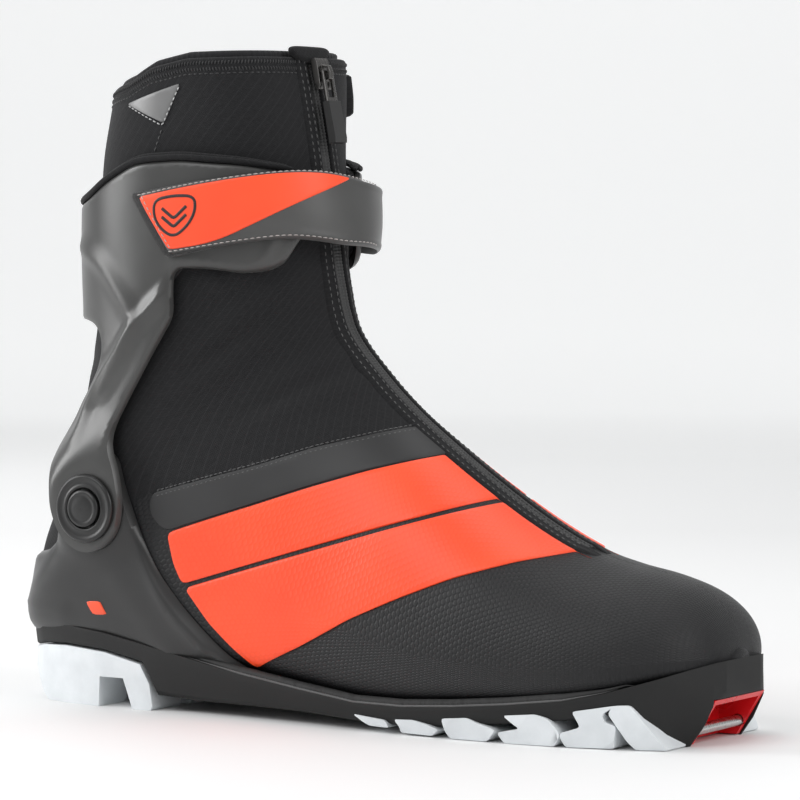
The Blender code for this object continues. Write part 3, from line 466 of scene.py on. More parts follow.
def settle(piece, body, slotName, *nodes):
    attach(piece, body)
    if nodes:
        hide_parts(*nodes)


def settleFlex(piece, slotName, *nodes):
    # fabric that runs from the foot across the ankle to the cuff
    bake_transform(piece)
    if nodes:
        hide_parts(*nodes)


class Nodes:
    # short hand for a material's node tree
    def __init__(self, name):
        self.material = bpy.data.materials.new(name)
        self.material.use_nodes = True
        self.tree = self.material.node_tree
        self.shader = self.tree.nodes["Principled BSDF"]

    def add(self, kind, **values):
        node = self.tree.nodes.new(kind)
        for key, value in values.items():
            if key in node.inputs:
                self.give(node, key, value)
            else:
                setattr(node, key, value)
        return node

    def give(self, node, key, value):
        if isinstance(value, bpy.types.NodeSocket):
            self.tree.links.new(value, node.inputs[key])
        else:
            node.inputs[key].default_value = value

    def math(self, operation, a, b=0.0, c=0.0):
        node = self.tree.nodes.new("ShaderNodeMath")
        node.operation = operation
        for key, value in enumerate((a, b, c)):
            self.give(node, key, value)
        return node.outputs[0]

    def vector(self, operation, a, b=(0, 0, 0), c=(0, 0, 0)):
        node = self.tree.nodes.new("ShaderNodeVectorMath")
        node.operation = operation
        self.give(node, 0, a)
        self.give(node, 1, b)
        if operation == "WRAP":
            self.give(node, 2, c)
        return node.outputs["Value"] if operation in ("LENGTH", "DOT_PRODUCT") else node.outputs[0]

    def mix(self, factor, a, b):
        node = self.tree.nodes.new("ShaderNodeMix")
        node.data_type = "RGBA"
        self.give(node, 0, factor)
        self.give(node, 6, a)
        self.give(node, 7, b)
        return node.outputs[2]

    def place(self):
        return self.tree.nodes.new("ShaderNodeTexCoord").outputs["Object"]

    def cloth(self):
        node = self.tree.nodes.new("ShaderNodeUVMap")
        node.uv_map = "cloth"
        return node.outputs[0]

    def noise(self, where, scale, detail=3.0, roughness=0.5):
        node = self.add("ShaderNodeTexNoise")
        self.give(node, "Vector", where)
        node.inputs["Scale"].default_value = scale
        node.inputs["Detail"].default_value = detail
        node.inputs["Roughness"].default_value = roughness
        return node.outputs[0]

    def ramp(self, value, low, high, toLow=0.0, toHigh=1.0):
        node = self.tree.nodes.new("ShaderNodeMapRange")
        self.give(node, "Value", value)
        node.inputs["From Min"].default_value = low
        node.inputs["From Max"].default_value = high
        node.inputs["To Min"].default_value = toLow
        node.inputs["To Max"].default_value = toHigh
        return node.outputs[0]

    def bump(self, height, distance, strength=1.0, normal=None):
        node = self.tree.nodes.new("ShaderNodeBump")
        node.inputs["Strength"].default_value = strength
        node.inputs["Distance"].default_value = distance
        self.give(node, "Height", height)
        if normal is not None:
            self.give(node, "Normal", normal)
        return node.outputs[0]

    def set(self, **values):
        for key, value in values.items():
            self.give(self.shader, {"color": "Base Color", "rough": "Roughness", "metal": "Metallic",
                                    "normal": "Normal", "coat": "Coat Weight", "coatRough": "Coat Roughness",
                                    "sheen": "Sheen Weight", "sheenRough": "Sheen Roughness",
                                    "specular": "Specular IOR Level"}[key], value)
        return self.material


def hexCells(n, where, size):
    # distance from the nearest centre of a hexagonal lattice, 0 at a centre and about 0.58 at a corner
    scaled = n.vector("MULTIPLY", where, (1 / size, 1 / size, 0))
    half = (0.5, 0.8660254, 0.5)
    minus = (-0.5, -0.8660254, -0.5)
    first = n.vector("WRAP", scaled, half, minus)
    second = n.vector("WRAP", n.vector("ADD", scaled, (0.5, 0.8660254, 0)), half, minus)
    return n.math("MINIMUM", n.vector("LENGTH", first), n.vector("LENGTH", second))


def honeycombFabric():
    # coated fabric of the foot: small hexagons with a fine speckle, smooth towards the ankle weave
    n = Nodes("honeycomb_fabric")
    where = n.cloth()
    cell = n.ramp(hexCells(n, where, 1.9), 0.30, 0.52)
    grain = n.noise(where, 1.6, 4.0)
    patch = n.noise(n.place(), 16.0, 3.0)
    base = n.mix(n.ramp(patch, 0.35, 0.7), (0.010, 0.010, 0.0108, 1), (0.0155, 0.0155, 0.0163, 1))
    color = n.mix(cell, base, (0.010, 0.010, 0.011, 1))
    height = n.math("MULTIPLY_ADD", grain, 0.25, n.math("MULTIPLY", cell, -1.0))
    rough = n.ramp(grain, 0.3, 0.7, 0.42, 0.56)
    return n.set(color=color, rough=rough, normal=n.bump(height, 0.00016, 0.75), specular=0.32)


def stretchFabric(name="stretch_fabric", tone=1.0):
    # matt knitted stretch cloth: fine ribs crossed by faint diagonal yarns
    n = Nodes(name)
    where = n.cloth()
    split = n.add("ShaderNodeSeparateXYZ")
    n.give(split, 0, where)
    u, v = split.outputs[0], split.outputs[1]
    warp = n.math("SINE", n.math("MULTIPLY", u, 6.3))
    weft = n.math("SINE", n.math("MULTIPLY", v, 6.3))
    knit = n.math("MULTIPLY", warp, weft)
    diagonal = n.math("SINE", n.math("MULTIPLY", n.math("ADD", u, n.math("MULTIPLY", v, 0.8)), 1.3))
    line = n.ramp(diagonal, 0.86, 1.0)
    fuzz = n.noise(where, 0.7, 5.0, 0.65)
    base = n.mix(n.ramp(fuzz, 0.3, 0.7), (0.0095 * tone, 0.0095 * tone, 0.0105 * tone, 1),
                 (0.0165 * tone, 0.0165 * tone, 0.0175 * tone, 1))
    color = n.mix(n.math("MULTIPLY", line, 0.35), base, (0.03 * tone, 0.03 * tone, 0.032 * tone, 1))
    height = n.math("MULTIPLY_ADD", knit, 0.5, n.math("MULTIPLY", fuzz, 0.6))
    return n.set(color=color, rough=0.86, normal=n.bump(height, 0.00012, 0.8), specular=0.22,
                 sheen=0.05, sheenRough=0.5)


def orangeFilm():
    # welded colour film: the honeycomb shows through it faintly, with a soft satin gloss
    n = Nodes("orange_film")
    where = n.cloth()
    cell = n.ramp(hexCells(n, where, 1.9), 0.28, 0.52)
    shade = n.noise(n.place(), 22.0, 3.0)
    color = n.mix(n.ramp(shade, 0.3, 0.72), (0.93, 0.068, 0.016, 1), (1.0, 0.088, 0.022, 1))
    color = n.mix(n.math("MULTIPLY", cell, 0.16), color, (0.72, 0.04, 0.01, 1))
    rough = n.ramp(shade, 0.3, 0.7, 0.36, 0.46)
    return n.set(color=color, rough=rough, normal=n.bump(cell, 0.00010, 0.5), specular=0.45)


def orangeStrap():
    # smooth moulded film on the strap, with a fine pebble
    n = Nodes("orange_strap")
    grain = n.noise(n.place(), 900.0, 2.0)
    shade = n.noise(n.place(), 26.0, 2.0)
    color = n.mix(n.ramp(shade, 0.3, 0.7), (0.95, 0.07, 0.017, 1), (1.0, 0.09, 0.023, 1))
    return n.set(color=color, rough=0.42, normal=n.bump(grain, 0.00004, 0.5))


def mouldedPlastic(name, color, rough, grain=1400.0, depth=0.00003):
    # moulded plastic with a fine spark-eroded grain, handling sheen and slight colour drift
    n = Nodes(name)
    where = n.place()
    fine = n.noise(where, grain, 3.0, 0.6)
    broad = n.noise(where, 30.0, 4.0)
    light = tuple(min(c * 1.25 + 0.001, 1) for c in color)
    base = n.mix(n.ramp(broad, 0.35, 0.7), (*color, 1), (*light, 1))
    return n.set(color=base, rough=n.ramp(broad, 0.3, 0.7, rough - 0.05, rough + 0.06),
                 normal=n.bump(fine, depth, 0.6))


def treadRubber():
    # pale moulded rubber, a little dusty in its hollows
    n = Nodes("tread_rubber")
    where = n.place()
    fine = n.noise(where, 900.0, 3.0)
    dust = n.noise(where, 45.0, 5.0, 0.6)
    color = n.mix(n.ramp(dust, 0.4, 0.75), (0.74, 0.77, 0.79, 1), (0.62, 0.65, 0.67, 1))
    return n.set(color=color, rough=n.ramp(dust, 0.3, 0.7, 0.36, 0.5), normal=n.bump(fine, 0.00003, 0.5))


def brushedSteel(name="brushed_steel", tone=(0.62, 0.62, 0.61), rough=0.26):
    # steel with fine turning marks round its length
    n = Nodes(name)
    where = n.vector("MULTIPLY", n.place(), (1, 90, 1))
    marks = n.noise(where, 60.0, 4.0)
    return n.set(color=(*tone, 1), metal=1.0, rough=n.ramp(marks, 0.3, 0.7, rough - 0.06, rough + 0.1),
                 normal=n.bump(marks, 0.00001, 0.12))


def paddedLining():
    # brushed lining cloth with a soft nap
    n = Nodes("padded_lining")
    where = n.cloth()
    nap = n.noise(where, 1.4, 6.0, 0.7)
    cells = n.ramp(hexCells(n, where, 2.6), 0.18, 0.5)
    color = n.mix(nap, (0.012, 0.012, 0.013, 1), (0.03, 0.03, 0.032, 1))
    height = n.math("MULTIPLY_ADD", nap, 0.6, n.math("MULTIPLY", cells, 0.8))
    return n.set(color=color, rough=0.92, normal=n.bump(height, 0.0003, 0.7), specular=0.2,
                 sheen=0.12, sheenRough=0.4)


def loopPile():
    # loop pile of the closure: a dense tangle
    n = Nodes("loop_pile")
    tangle = n.noise(n.place(), 1500.0, 6.0, 0.8)
    color = n.mix(tangle, (0.004, 0.004, 0.004, 1), (0.03, 0.03, 0.03, 1))
    return n.set(color=color, rough=1.0, normal=n.bump(tangle, 0.0004, 1.0), sheen=0.3)


def thread(name, tone):
    # twisted sewing thread
    n = Nodes(name)
    twist = n.noise(n.place(), 2500.0, 2.0)
    color = n.mix(twist, tuple(0.7 * t for t in tone) + (1,), tone + (1,))
    return n.set(color=color, rough=0.6, sheen=0.2)


def reflectiveFilm():
    # grey reflective patch with a very fine bead texture
    n = Nodes("reflective_film")
    beads = n.noise(n.place(), 3000.0, 2.0)
    broad = n.noise(n.place(), 60.0, 2.0)
    color = n.mix(broad, (0.13, 0.13, 0.13, 1), (0.19, 0.19, 0.19, 1))
    return n.set(color=color, rough=0.38, metal=0.25, normal=n.bump(beads, 0.00003, 0.6))


footCloth = honeycombFabric()
ankleCloth = stretchFabric()
hemCloth = stretchFabric("hem_tape", 0.8)
filmOrange = orangeFilm()
strapOrange = orangeStrap()
# the cuff is the heel counter's plastic in a lighter grey: partly its own tone, partly a painted highlight
cuffPlasticWithHighlight = mouldedPlastic("cuff_plastic", (0.046, 0.046, 0.045), 0.33)
heelPlastic = mouldedPlastic("heel_plastic", (0.017, 0.017, 0.017), 0.38)
capPlastic = mouldedPlastic("cap_plastic", (0.011, 0.011, 0.011), 0.36)
strapPlastic = mouldedPlastic("strap_plastic", (0.055, 0.055, 0.054), 0.36)
soleRubber = mouldedPlastic("sole_rubber", (0.004, 0.004, 0.004), 0.7, 700.0, 0.00006)
darkFilm = mouldedPlastic("dark_film", (0.0125, 0.0125, 0.013), 0.50, 500.0, 0.00004)
grooveRubber = mouldedPlastic("welt_rubber", (0.014, 0.014, 0.014), 0.7, 500.0, 0.0001)
redLiner = mouldedPlastic("red_liner", (0.62, 0.008, 0.012), 0.30, 600.0, 0.00002)
innerPaint = mouldedPlastic("marking_dark", (0.012, 0.006, 0.006), 0.5)
accentPaint = mouldedPlastic("accent_orange", (0.9, 0.09, 0.03), 0.45)
whiteRubber = treadRubber()
steel = brushedSteel()
zipMetal = brushedSteel("zip_metal", (0.16, 0.155, 0.15), 0.22)
liningCloth = paddedLining()
pile = loopPile()
darkThread = thread("dark_thread", (0.02, 0.02, 0.021))
greyThread = thread("grey_thread", (0.09, 0.09, 0.09))
lightThread = thread("light_thread", (0.45, 0.42, 0.40))
patchFilm = reflectiveFilm()
boardFibre = mouldedPlastic("board_fibre", (0.20, 0.14, 0.08), 0.8, 300.0, 0.0001)
gripRubber = mouldedPlastic("grip_rubber", (0.02, 0.02, 0.02), 0.55)
print("materials made")


def rimHeight(x):
    line = np.array(collarRim[::-1], float)
    return np.interp(x, line[:, 0], line[:, 1])


def rimPlace(turn, out, drop=0.0):
    # where each column of the boot's grid meets the collar rim line
    places = np.linspace(20, lastPlace + 0.6, 260)
    points = bootPoint(turn[:, None], places[None, :], out)
    over = points[..., 2] - rimHeight(points[..., 0]) + drop
    first = np.argmax(over > 0, 1)
    first = np.where(over.max(1) > 0, np.maximum(first, 1), len(places) - 1)
    take = np.arange(len(turn))
    low, high = over[take, first - 1], over[take, first]
    part = np.clip(-low / (high - low + 1e-12), 0, 1)
    return places[first - 1] + (places[first] - places[first - 1]) * part


def collarFlare(turn, place):
    # the collar's inner front edge stands out a little towards its rim
    turn = (turn + math.pi) % (2 * math.pi) - math.pi
    around = np.exp(-((turn + 0.62) / 0.5) ** 2)
    return 3.2 * around * smoothStep(24.5, 28.2, place)


# soft folds of the ankle cloth: start, end and depth in side view
foldLines = [((-30, 150), (-62, 128), 1.1), ((-24, 172), (-56, 150), 0.8), ((-2, 132), (-44, 112), 0.8),
             ((-118, 132), (-92, 122), 0.6), ((-60, 190), (-42, 158), 0.7)]


def clothMoves(points):
    # each fold is a hollow along its line with a low swell beside it, fading towards both ends
    moves = np.zeros(points.shape[:-1])
    flat = points[..., [0, 2]]
    for start, end, depth in foldLines:
        start, end = np.array(start, float), np.array(end, float)
        span = end - start
        t = np.clip(((flat - start) @ span) / (span @ span), 0, 1)
        gap = np.linalg.norm(flat - start - t[..., None] * span, axis=-1)
        fade = np.sin(math.pi * np.clip(0.12 + 0.76 * t, 0, 1))
        moves -= depth * fade * np.exp(-(gap / 3.2) ** 2)
        moves += 0.45 * depth * fade * np.exp(-((gap - 6.5) / 4) ** 2)
    return moves


sock = {"columns": 144, "rows": 330, "capRows": 6, "clothIn": -2.5, "liningOut": -2.8, "liningIn": -5.8}


def sockMesh(outer, inner, rimDrop, puff=0.0, moves=True):
    # the boot's form from its toe pole to the rim, over a rounded top edge, and back down inside;
    # columns run round the boot and rows along it
    turn = 2 * math.pi * np.arange(sock["columns"]) / sock["columns"]
    top = rimPlace(turn, outer, rimDrop)
    share = np.linspace(0, 1, sock["rows"])
    place = share[:, None] * top[None, :]
    turns = np.broadcast_to(turn, place.shape)
    plain = bootPoint(turns, place, outer)
    height = np.full(place.shape, float(outer)) + collarFlare(turns, place)
    if moves:
        height = height + clothMoves(plain) * smoothStep(0, 6, np.abs(plain[..., 2] - 20))
    up = bootPoint(turns, place, height)
    step = np.linspace(0, math.pi, sock["capRows"] + 2)[1:-1]
    middle = 0.5 * (outer + inner)
    half = 0.5 * (outer - inner)
    flare = collarFlare(turn, top)
    rimUp = up[-1] - up[-4]
    rimUp /= np.linalg.norm(rimUp, axis=-1)[:, None]
    cap = []
    for angle in step:
        ring = bootPoint(turn, top, middle + flare + half * math.cos(angle) * (1 + puff * math.sin(angle)))
        cap.append(ring + rimUp * half * math.sin(angle) * (1 + puff))
    # rings that close the toe in a small dome
    shrink = np.array([0.03, 0.25, 0.5, 0.72, 0.9])[:, None, None]
    middleFirst = up[0].mean(0)
    dome = middleFirst + (up[0] - middleFirst) * shrink + np.sqrt(1 - shrink ** 2) * np.array([1.3, 0, 0])
    up = np.concatenate([dome, up])
    place = np.concatenate([np.repeat(place[:1], 5, 0), place])
    turns = np.broadcast_to(turn, place.shape)
    innerPlace = place[:4:-1]
    innerTurn = turns[:4:-1]
    keep = innerPlace[:, 0] > 0.9
    innerPlace, innerTurn = innerPlace[keep], innerTurn[keep]
    thin = np.minimum(1, innerPlace / 6.0)
    down = bootPoint(innerTurn, innerPlace, inner * (0.25 + 0.75 * thin) + collarFlare(innerTurn, innerPlace))
    rings = np.concatenate([up, np.array(cap), down])
    rowsAll = len(rings)
    points = rings.reshape(-1, 3)
    outward = points - rings.mean(1, keepdims=True).repeat(sock["columns"], 1).reshape(-1, 3)
    outward[rowsAll * sock["columns"] // 2:] = 0
    faces = cappedRings(points, rowsAll, sock["columns"], outward)
    flatUp = toFlat(turns, place)
    flatCap = np.repeat(flatUp[-1:], sock["capRows"], 0)
    flatDown = toFlat(innerTurn, innerPlace)
    uv = np.concatenate([flatUp, flatCap, flatDown]).reshape(-1, 2)
    return points, faces, uv


points, faces, uv = sockMesh(0.0, sock["clothIn"], 0.4)
bootFabric = newPiece("boot_fabric", points, faces, footCloth, uv, 60)
bootFabric.data.materials.append(ankleCloth)
# the ankle and collar are stretch cloth, above a line over the instep and behind the heel
centre = np.empty(len(bootFabric.data.polygons) * 3)
bootFabric.data.polygons.foreach_get("center", centre)
centre = centre.reshape(-1, 3) / mm
clothLine = np.interp(centre[:, 0], [-160, -75, -30, 10, 34, 60, 104, 160],
                      [40, 84, 96, 107, 115, 120, 300, 300])
bootFabric.data.polygons.foreach_set("material_index", (centre[:, 2] > clothLine).astype(np.int32))
settleFlex(bootFabric, "upper_fabric", "upper", "ankle_gusset", "collar")
points, faces, uv = sockMesh(sock["liningOut"], sock["liningIn"], -1.2, 0.5, False)
lining = newPiece("padded_lining", points, faces, liningCloth, uv, 60)
settleFlex(lining, "lining", "foot_liner", "collar_lining")
print("fabric body made")

# coloured bands and a dark film on both sides of the foot
bands = {
    "upper": [(-69, 68.5), (-53, 73.5), (-30, 80.5), (-8, 87.5), (14, 94), (36, 99.5), (53, 104), (60, 98),
              (70, 88), (36, 77.5), (-6, 65.5), (-33, 57.8), (-62, 49.5), (-66, 57)],
    "lower": [(-61, 48), (-33, 56.2), (-6, 63.9), (36, 75.9), (74, 86.5), (84, 78), (99, 68), (78, 63.5),
              (58, 57.5), (37, 49.5), (15, 40.5), (-7, 29.5), (-30, 19.5), (-40, 27), (-50, 35.5)],
    "film": [(-77, 83), (-54, 89), (-31, 95), (-9, 102), (13, 107.5), (34, 112.5), (45, 108), (53, 104.6),
             (36, 100.1), (14, 94.6), (-8, 88.1), (-30, 81.1), (-53, 74.1), (-70, 69), (-77, 75)],
    "offZip": 9.9, "low": 0.05, "high": 0.75, "filmHigh": 0.55}
for sideName, side in (("lateral", 1), ("medial", -1)):
    for bandName in ("upper", "lower"):
        loop = keepOffZip(sideLoop(bands[bandName], side, 2.5), bands["offZip"])
        band = trimmedSkin(f"orange_band_{bandName}_{sideName}", loop, filmOrange, bands["low"],
                           bands["high"], edge=0.6)
        settle(band, "boot", "orange_film", f"side_band_{bandName}_{sideName}")
    film = trimmedSkin(f"ankle_film_{sideName}", sideLoop(bands["film"], side, 4.0), darkFilm, bands["low"],
                       bands["filmHigh"], edge=0.5)
    settle(film, "boot", "upper_fabric")
print("bands made")


def slabShape(level, inner, radius=16.0, fade=14.0):
    # flattens a skin to a level face round the pivot, on both sides of the boot
    def shape(outerPoints, innerPoints, turn, place, rise):
        for points, face in ((outerPoints, level), (innerPoints, inner)):
            gap = np.hypot(points[:, 0] - pivot[0], points[:, 2] - pivot[1])
            share = 1 - smoothStep(radius, radius + fade, gap)
            side = np.sign(points[:, 1])
            target = side * (face if points is innerPoints else inner + (face - inner) * (0.2 + 0.8 * rise))
            points[:, 1] += share * (target - points[:, 1])
        return outerPoints, innerPoints
    return shape


counterForm = {
    "top": [(-170, 57.6), (-142, 57), (-128, 59.5), (-118.5, 66), (-114.5, 78), (-111, 88), (-104, 95.5),
            (-97, 98.5), (-91, 97), (-88, 86), (-79, 64), (-72.5, 53), (-62, 41), (-50, 30), (-42, 23),
            (-34, 17.4)],
    "base": [(-36, 17.8), (-58, 21.7), (-77, 25.1), (-102, 29.4), (-122, 31.2), (-137, 30.4), (-170, 28.2)],
    "low": 0.3, "high": 2.9, "edge": 1.3, "bossFace": 45.0, "bossBack": 40.8,
    "skirtDrop": 4.4, "skirtBack": 2.4, "skirtOut": 1.3}


def counterLift(solid, turn, place, depth):
    # a ridge and a soft rib behind the front edge, and a shelf round the back
    flat = solid[:, [0, 2]]
    ridge = evenly(roundLine([(-79, 66), (-74, 52), (-66, 38), (-52, 26)], 8), 1.0)
    rib = evenly(roundLine([(-97, 60), (-88, 46), (-78, 34), (-70, 26)], 8), 1.0)
    shelf = evenly([(-160, 38.8), (-119, 38.4)], 1.0)
    lift = 1.0 * np.clip(1 - lineDistance(flat, ridge) / 4.5, 0, 1) ** 1.3 * smoothStep(62, 48, solid[:, 2])
    lift += 0.45 * np.exp(-(lineDistance(flat, rib) / 5.0) ** 2)
    lift += 0.5 * smoothStep(39.6, 37.8, solid[:, 2]) * smoothStep(-112, -124, solid[:, 0])
    lift += 0.3 * np.exp(-(lineDistance(flat, shelf) / 1.5) ** 2)
    return lift


def counterShape(outerPoints, innerPoints, turn, place, rise):
    # level round the pivot, and a skirt at the foot that hangs over the edge of the sole
    level = slabShape(counterForm["bossFace"], counterForm["bossBack"], 15.0, 12.0)
    outerPoints, innerPoints = level(outerPoints, innerPoints, turn, place, rise)
    for points in (outerPoints, innerPoints):
        x, y, z = points[:, 0].copy(), points[:, 1].copy(), points[:, 2].copy()
        base = np.interp(x, [-155, -137, -122, -102, -77, -58, -36],
                         [28.4, 30.4, 31.2, 29.4, 25.1, 21.7, 17.8])
        low = np.clip((base + 8 - z) / 8, 0, 1.1) ** 1.4 * smoothStep(-46, -72, x)
        back = smoothStep(-118, -146, x)
        points[:, 2] -= counterForm["skirtDrop"] * low
        points[:, 0] -= counterForm["skirtBack"] * low * back
        points[:, 1] += counterForm["skirtOut"] * np.sign(y) * low * (1 - 0.6 * back)
    return outerPoints, innerPoints


counterLoop = wrapLoop(counterForm["top"] + counterForm["base"], 5.0)
counter = trimmedSkin("heel_counter_shell", counterLoop, heelPlastic, counterForm["low"],
                      counterForm["high"], edge=counterForm["edge"], lift=counterLift, shape=counterShape)
settle(counter, "boot", "cuff_plastic", "heel_counter")
accentLine = [(-105.6, 42.3), (-98.6, 42.6), (-96.4, 37.7), (-103.4, 37.4)]
accent = trimmedSkin("counter_accent", sideLoop(accentLine, 1, 0.4), accentPaint, 2.95, 3.25, edge=0.2,
                     step=1.0)
settle(accent, "boot", "orange_film")
print("heel counter made")

cuffForm = {
    "outline": [(-160, 193), (-118, 193), (-104, 196), (-93, 202), (-80, 208), (-62, 208.5), (-40, 206),
                (-27, 202.5), (-24.5, 196), (-24, 180), (-29, 167), (-38, 165), (-52, 167.5), (-65, 168),
                (-65.5, 158), (-65, 150), (-75, 134), (-83.5, 120), (-90, 109), (-91, 101), (-87.5, 92),
                (-85.2, 80), (-86.5, 70), (-91.5, 63.5), (-99, 60.6), (-107, 62.2), (-113.5, 68),
                (-116.8, 77), (-117.5, 90), (-119.5, 98), (-117, 106), (-111, 116), (-103, 126),
                (-98.5, 134), (-98, 142), (-102, 147.5), (-110, 149.5), (-122, 150), (-160, 153)],
    "padOutline": [(-160, 194), (-118, 194), (-104, 197), (-93, 203), (-80, 209), (-62, 209.5), (-40, 207),
                   (-27, 203.5), (-26, 184), (-31, 170), (-60, 171), (-70, 160), (-84, 152), (-108, 151.5),
                   (-122, 152), (-160, 156)],
    "low": 3.2, "high": 5.8, "edge": 1.5, "rearGap": 3.0, "eyeFace": 48.0, "eyeBack": 45.3}
creaseA = evenly(roundLine([(-66, 160), (-79, 148.3), (-92.5, 133.3), (-106.2, 117.4), (-110, 104)], 6), 1.0)
creaseB = evenly(roundLine([(-116, 176), (-101, 170), (-93.9, 163.5), (-81.4, 149.6), (-88, 134),
                            (-97, 122)], 5), 1.0)
flapRim = evenly(roundLine([(-63.5, 171.4), (-52, 170.4), (-38, 168.0), (-31.5, 169.4), (-27.2, 180),
                            (-27.5, 197)], 4), 1.0)


def cuffLift(solid, turn, place, depth):
    # two long creases down the arm, a raised rim on the front flap and a hollow in the arm's middle
    flat = solid[:, [0, 2]]
    lift = 1.9 * np.clip(1 - lineDistance(flat, creaseA) / 5.5, 0, 1) ** 1.25
    lift += 1.5 * np.clip(1 - lineDistance(flat, creaseB) / 6.0, 0, 1) ** 1.25
    lift += 0.7 * np.exp(-(lineDistance(flat, flapRim) / 1.5) ** 2)
    hollow = np.hypot(solid[:, 0] + 101, solid[:, 2] - 104)
    lift -= 0.7 * np.exp(-(hollow / 8.0) ** 2)
    lift *= smoothStep(0.5, 5.0, depth)
    lift *= smoothStep(15.8, 22, np.hypot(solid[:, 0] - pivot[0], solid[:, 2] - pivot[1]))
    return lift


def cuffRear(place):
    # the cuff stands back from the heel above, and closes in at its lower edge
    return cuffForm["rearGap"] * smoothStep(22.6, 24.4, place)


cuff = trimmedSkin("cuff_shell", wrapLoop(cuffForm["outline"], 4.5), cuffPlasticWithHighlight, cuffForm["low"],
                   cuffForm["high"], edge=cuffForm["edge"], rear=cuffRear, lift=cuffLift,
                   shape=slabShape(cuffForm["eyeFace"], cuffForm["eyeBack"], 16.5, 22.0))
settle(cuff, "cuff", "cuff_plastic", "cuff")
pad = trimmedSkin("cuff_padding", wrapLoop(cuffForm["padOutline"], 4.5), liningCloth, 0.3, 2.9, edge=1.2,
                  step=2.2)
settle(pad, "cuff", "lining", "cuff_pad")

# soft piping on the cuff's top edge: two rolled cords side by side
pipingLine = [(-160, 194.6), (-118, 194.6), (-104, 197.8), (-93, 203.8), (-80, 209.6), (-62, 210.2),
              (-40, 207.6), (-28, 204.4)]
parts = []
for height, radius, rise in ((3.4, 1.35, 0.3), (5.2, 1.15, -0.5)):
    halves = []
    for side in (1, -1):
        turn, place = openLine([(x, z + rise) for x, z in pipingLine], side, 5, 0.9, 0.99)
        turn = np.concatenate([[side * math.pi], turn]) + (2 * math.pi if side < 0 else 0)
        halves.append(np.stack([turn, np.concatenate([place[:1], place])], -1))
    both = np.concatenate([halves[0][::-1], halves[1]])
    flat = evenly(toFlat(both[:, 0], both[:, 1]), 1.2)
    turn, place = fromFlat(flat)
    path, normal = laidOn(turn, place, height, 0.0, cuffForm["rearGap"])
    taper = np.minimum(1, np.minimum(np.arange(len(path)), np.arange(len(path))[::-1]) / 5 + 0.35)
    parts.append(tubeMesh(path, radius * taper, 10, False, 1.0, normal))
points, faces = joinMeshes(parts)
piping = newPiece("cuff_piping", points, faces, hemCloth, np.zeros((len(points), 2)) + points[:, [0, 2]])
settle(piping, "cuff", "upper_fabric", "cuff_edge_trim")
print("cuff made")


def lathe(name, profile, side, material, steps=96, x=pivot[0], z=pivot[1]):
    # a profile of radius and reach turned about an axis along Y
    profile = np.asarray(profile, float)
    angle = 2 * math.pi * np.arange(steps) / steps
    reach = np.broadcast_to(side * profile[:, 1:], (len(profile), steps))
    rings = np.stack([x + profile[:, :1] * np.cos(angle), reach, z + profile[:, :1] * np.sin(angle)], -1)
    points = rings.reshape(-1, 3)
    faces = gridFaces(len(profile), steps, True, True)
    middle = profile.mean(0)
    outward = points - np.array([x, 0, z])
    radial = np.hypot(outward[:, 0], outward[:, 2])
    away = np.repeat(profile - middle, steps, 0)
    direction = np.stack([outward[:, 0] / (radial + 1e-9) * away[:, 0], side * away[:, 1],
                          outward[:, 2] / (radial + 1e-9) * away[:, 0]], -1)
    faces = faceOut(points, faces, direction)
    return newPiece(name, points, faces, material, None, 35)


for sideName, side in (("lateral", -1), ("medial", 1)):
    ring = roundLine([(7.5, 48.2), (13.0, 48.2), (13.0, 49.6), (12.0, 50.4), (10.6, 49.9), (9.3, 49.9),
                      (8.4, 50.3), (7.5, 49.6)], 0.5, True, 4)
    piece = lathe(f"pivot_ring_disc_{sideName}", ring, side, capPlastic)
    settle(piece, "boot", "cap_plastic", f"pivot_ring_{sideName}")
    cap = roundLine([(0.02, 42.6), (4.0, 42.6), (4.0, 48.4), (7.1, 48.4), (7.1, 50.7), (6.1, 51.3),
                     (5.0, 51.0), (3.6, 51.2), (0.02, 51.5)], 0.4, True, 4)
    cap[:, 0] = np.maximum(cap[:, 0], 0.02)
    piece = lathe(f"pivot_rivet_{sideName}", cap, side, capPlastic)
    settle(piece, "boot", "cap_plastic", f"pivot_cap_{sideName}")
print("pivots made")

# the strap's edges as turn and place: from its free end on the outer side, over the front, to the
# anchor on the inner side; the film's lower edge runs up to a point at the front
strapForm = {
    "top": [(1.642, 24.86), (1.30, 24.72), (0.904, 24.44), (0.50, 24.08), (0.13, 23.66), (-0.222, 23.42),
            (-0.60, 23.50), (-0.95, 23.92), (-1.245, 24.40)],
    "low": [(1.431, 23.20), (1.135, 22.82), (0.90, 22.46), (0.67, 22.07), (0.42, 21.45), (0.18, 20.84),
            (-0.16, 20.62), (-0.55, 21.1), (-0.95, 22.15), (-1.25, 23.1)],
    "filmTop": [(1.628, 24.78), (1.30, 24.64), (0.904, 24.37), (0.50, 24.0), (0.14, 23.60)],
    "filmLow": [(1.425, 23.30), (1.135, 22.92), (0.92, 22.95), (0.63, 23.10), (0.35, 23.33), (0.14, 23.58)],
    "hooks": [(-80.5, 196.5), (-53, 200), (-45, 175.6), (-66.5, 171.5)],
    "inner": 8.5, "outer": 10.1, "filmHigh": 10.85, "frontGap": 5.0}
strapGap = strapForm["frontGap"]


def edgeLine(points, step=0.8, shift=0.0):
    # a smooth line through turn and place pairs, shifted sideways in the flat domain
    pairs = np.array(points)
    flat = evenly(roundLine(toFlat(pairs[:, 0], pairs[:, 1]), 9.0), step)
    flat[:, 1] += shift
    return flat


strapLoop = np.concatenate([edgeLine(strapForm["top"]), edgeLine(strapForm["low"])[::-1]])
strapLoop = roundLine(evenly(strapLoop, 3.0, True), 2.5, True)


def strapLift(solid, turn, place, depth):
    # a pressed rim just inside each edge and a soft crown along the middle
    return 0.25 * np.exp(-((depth - 1.6) / 0.7) ** 2) + 0.35 * smoothStep(0, 11, depth)


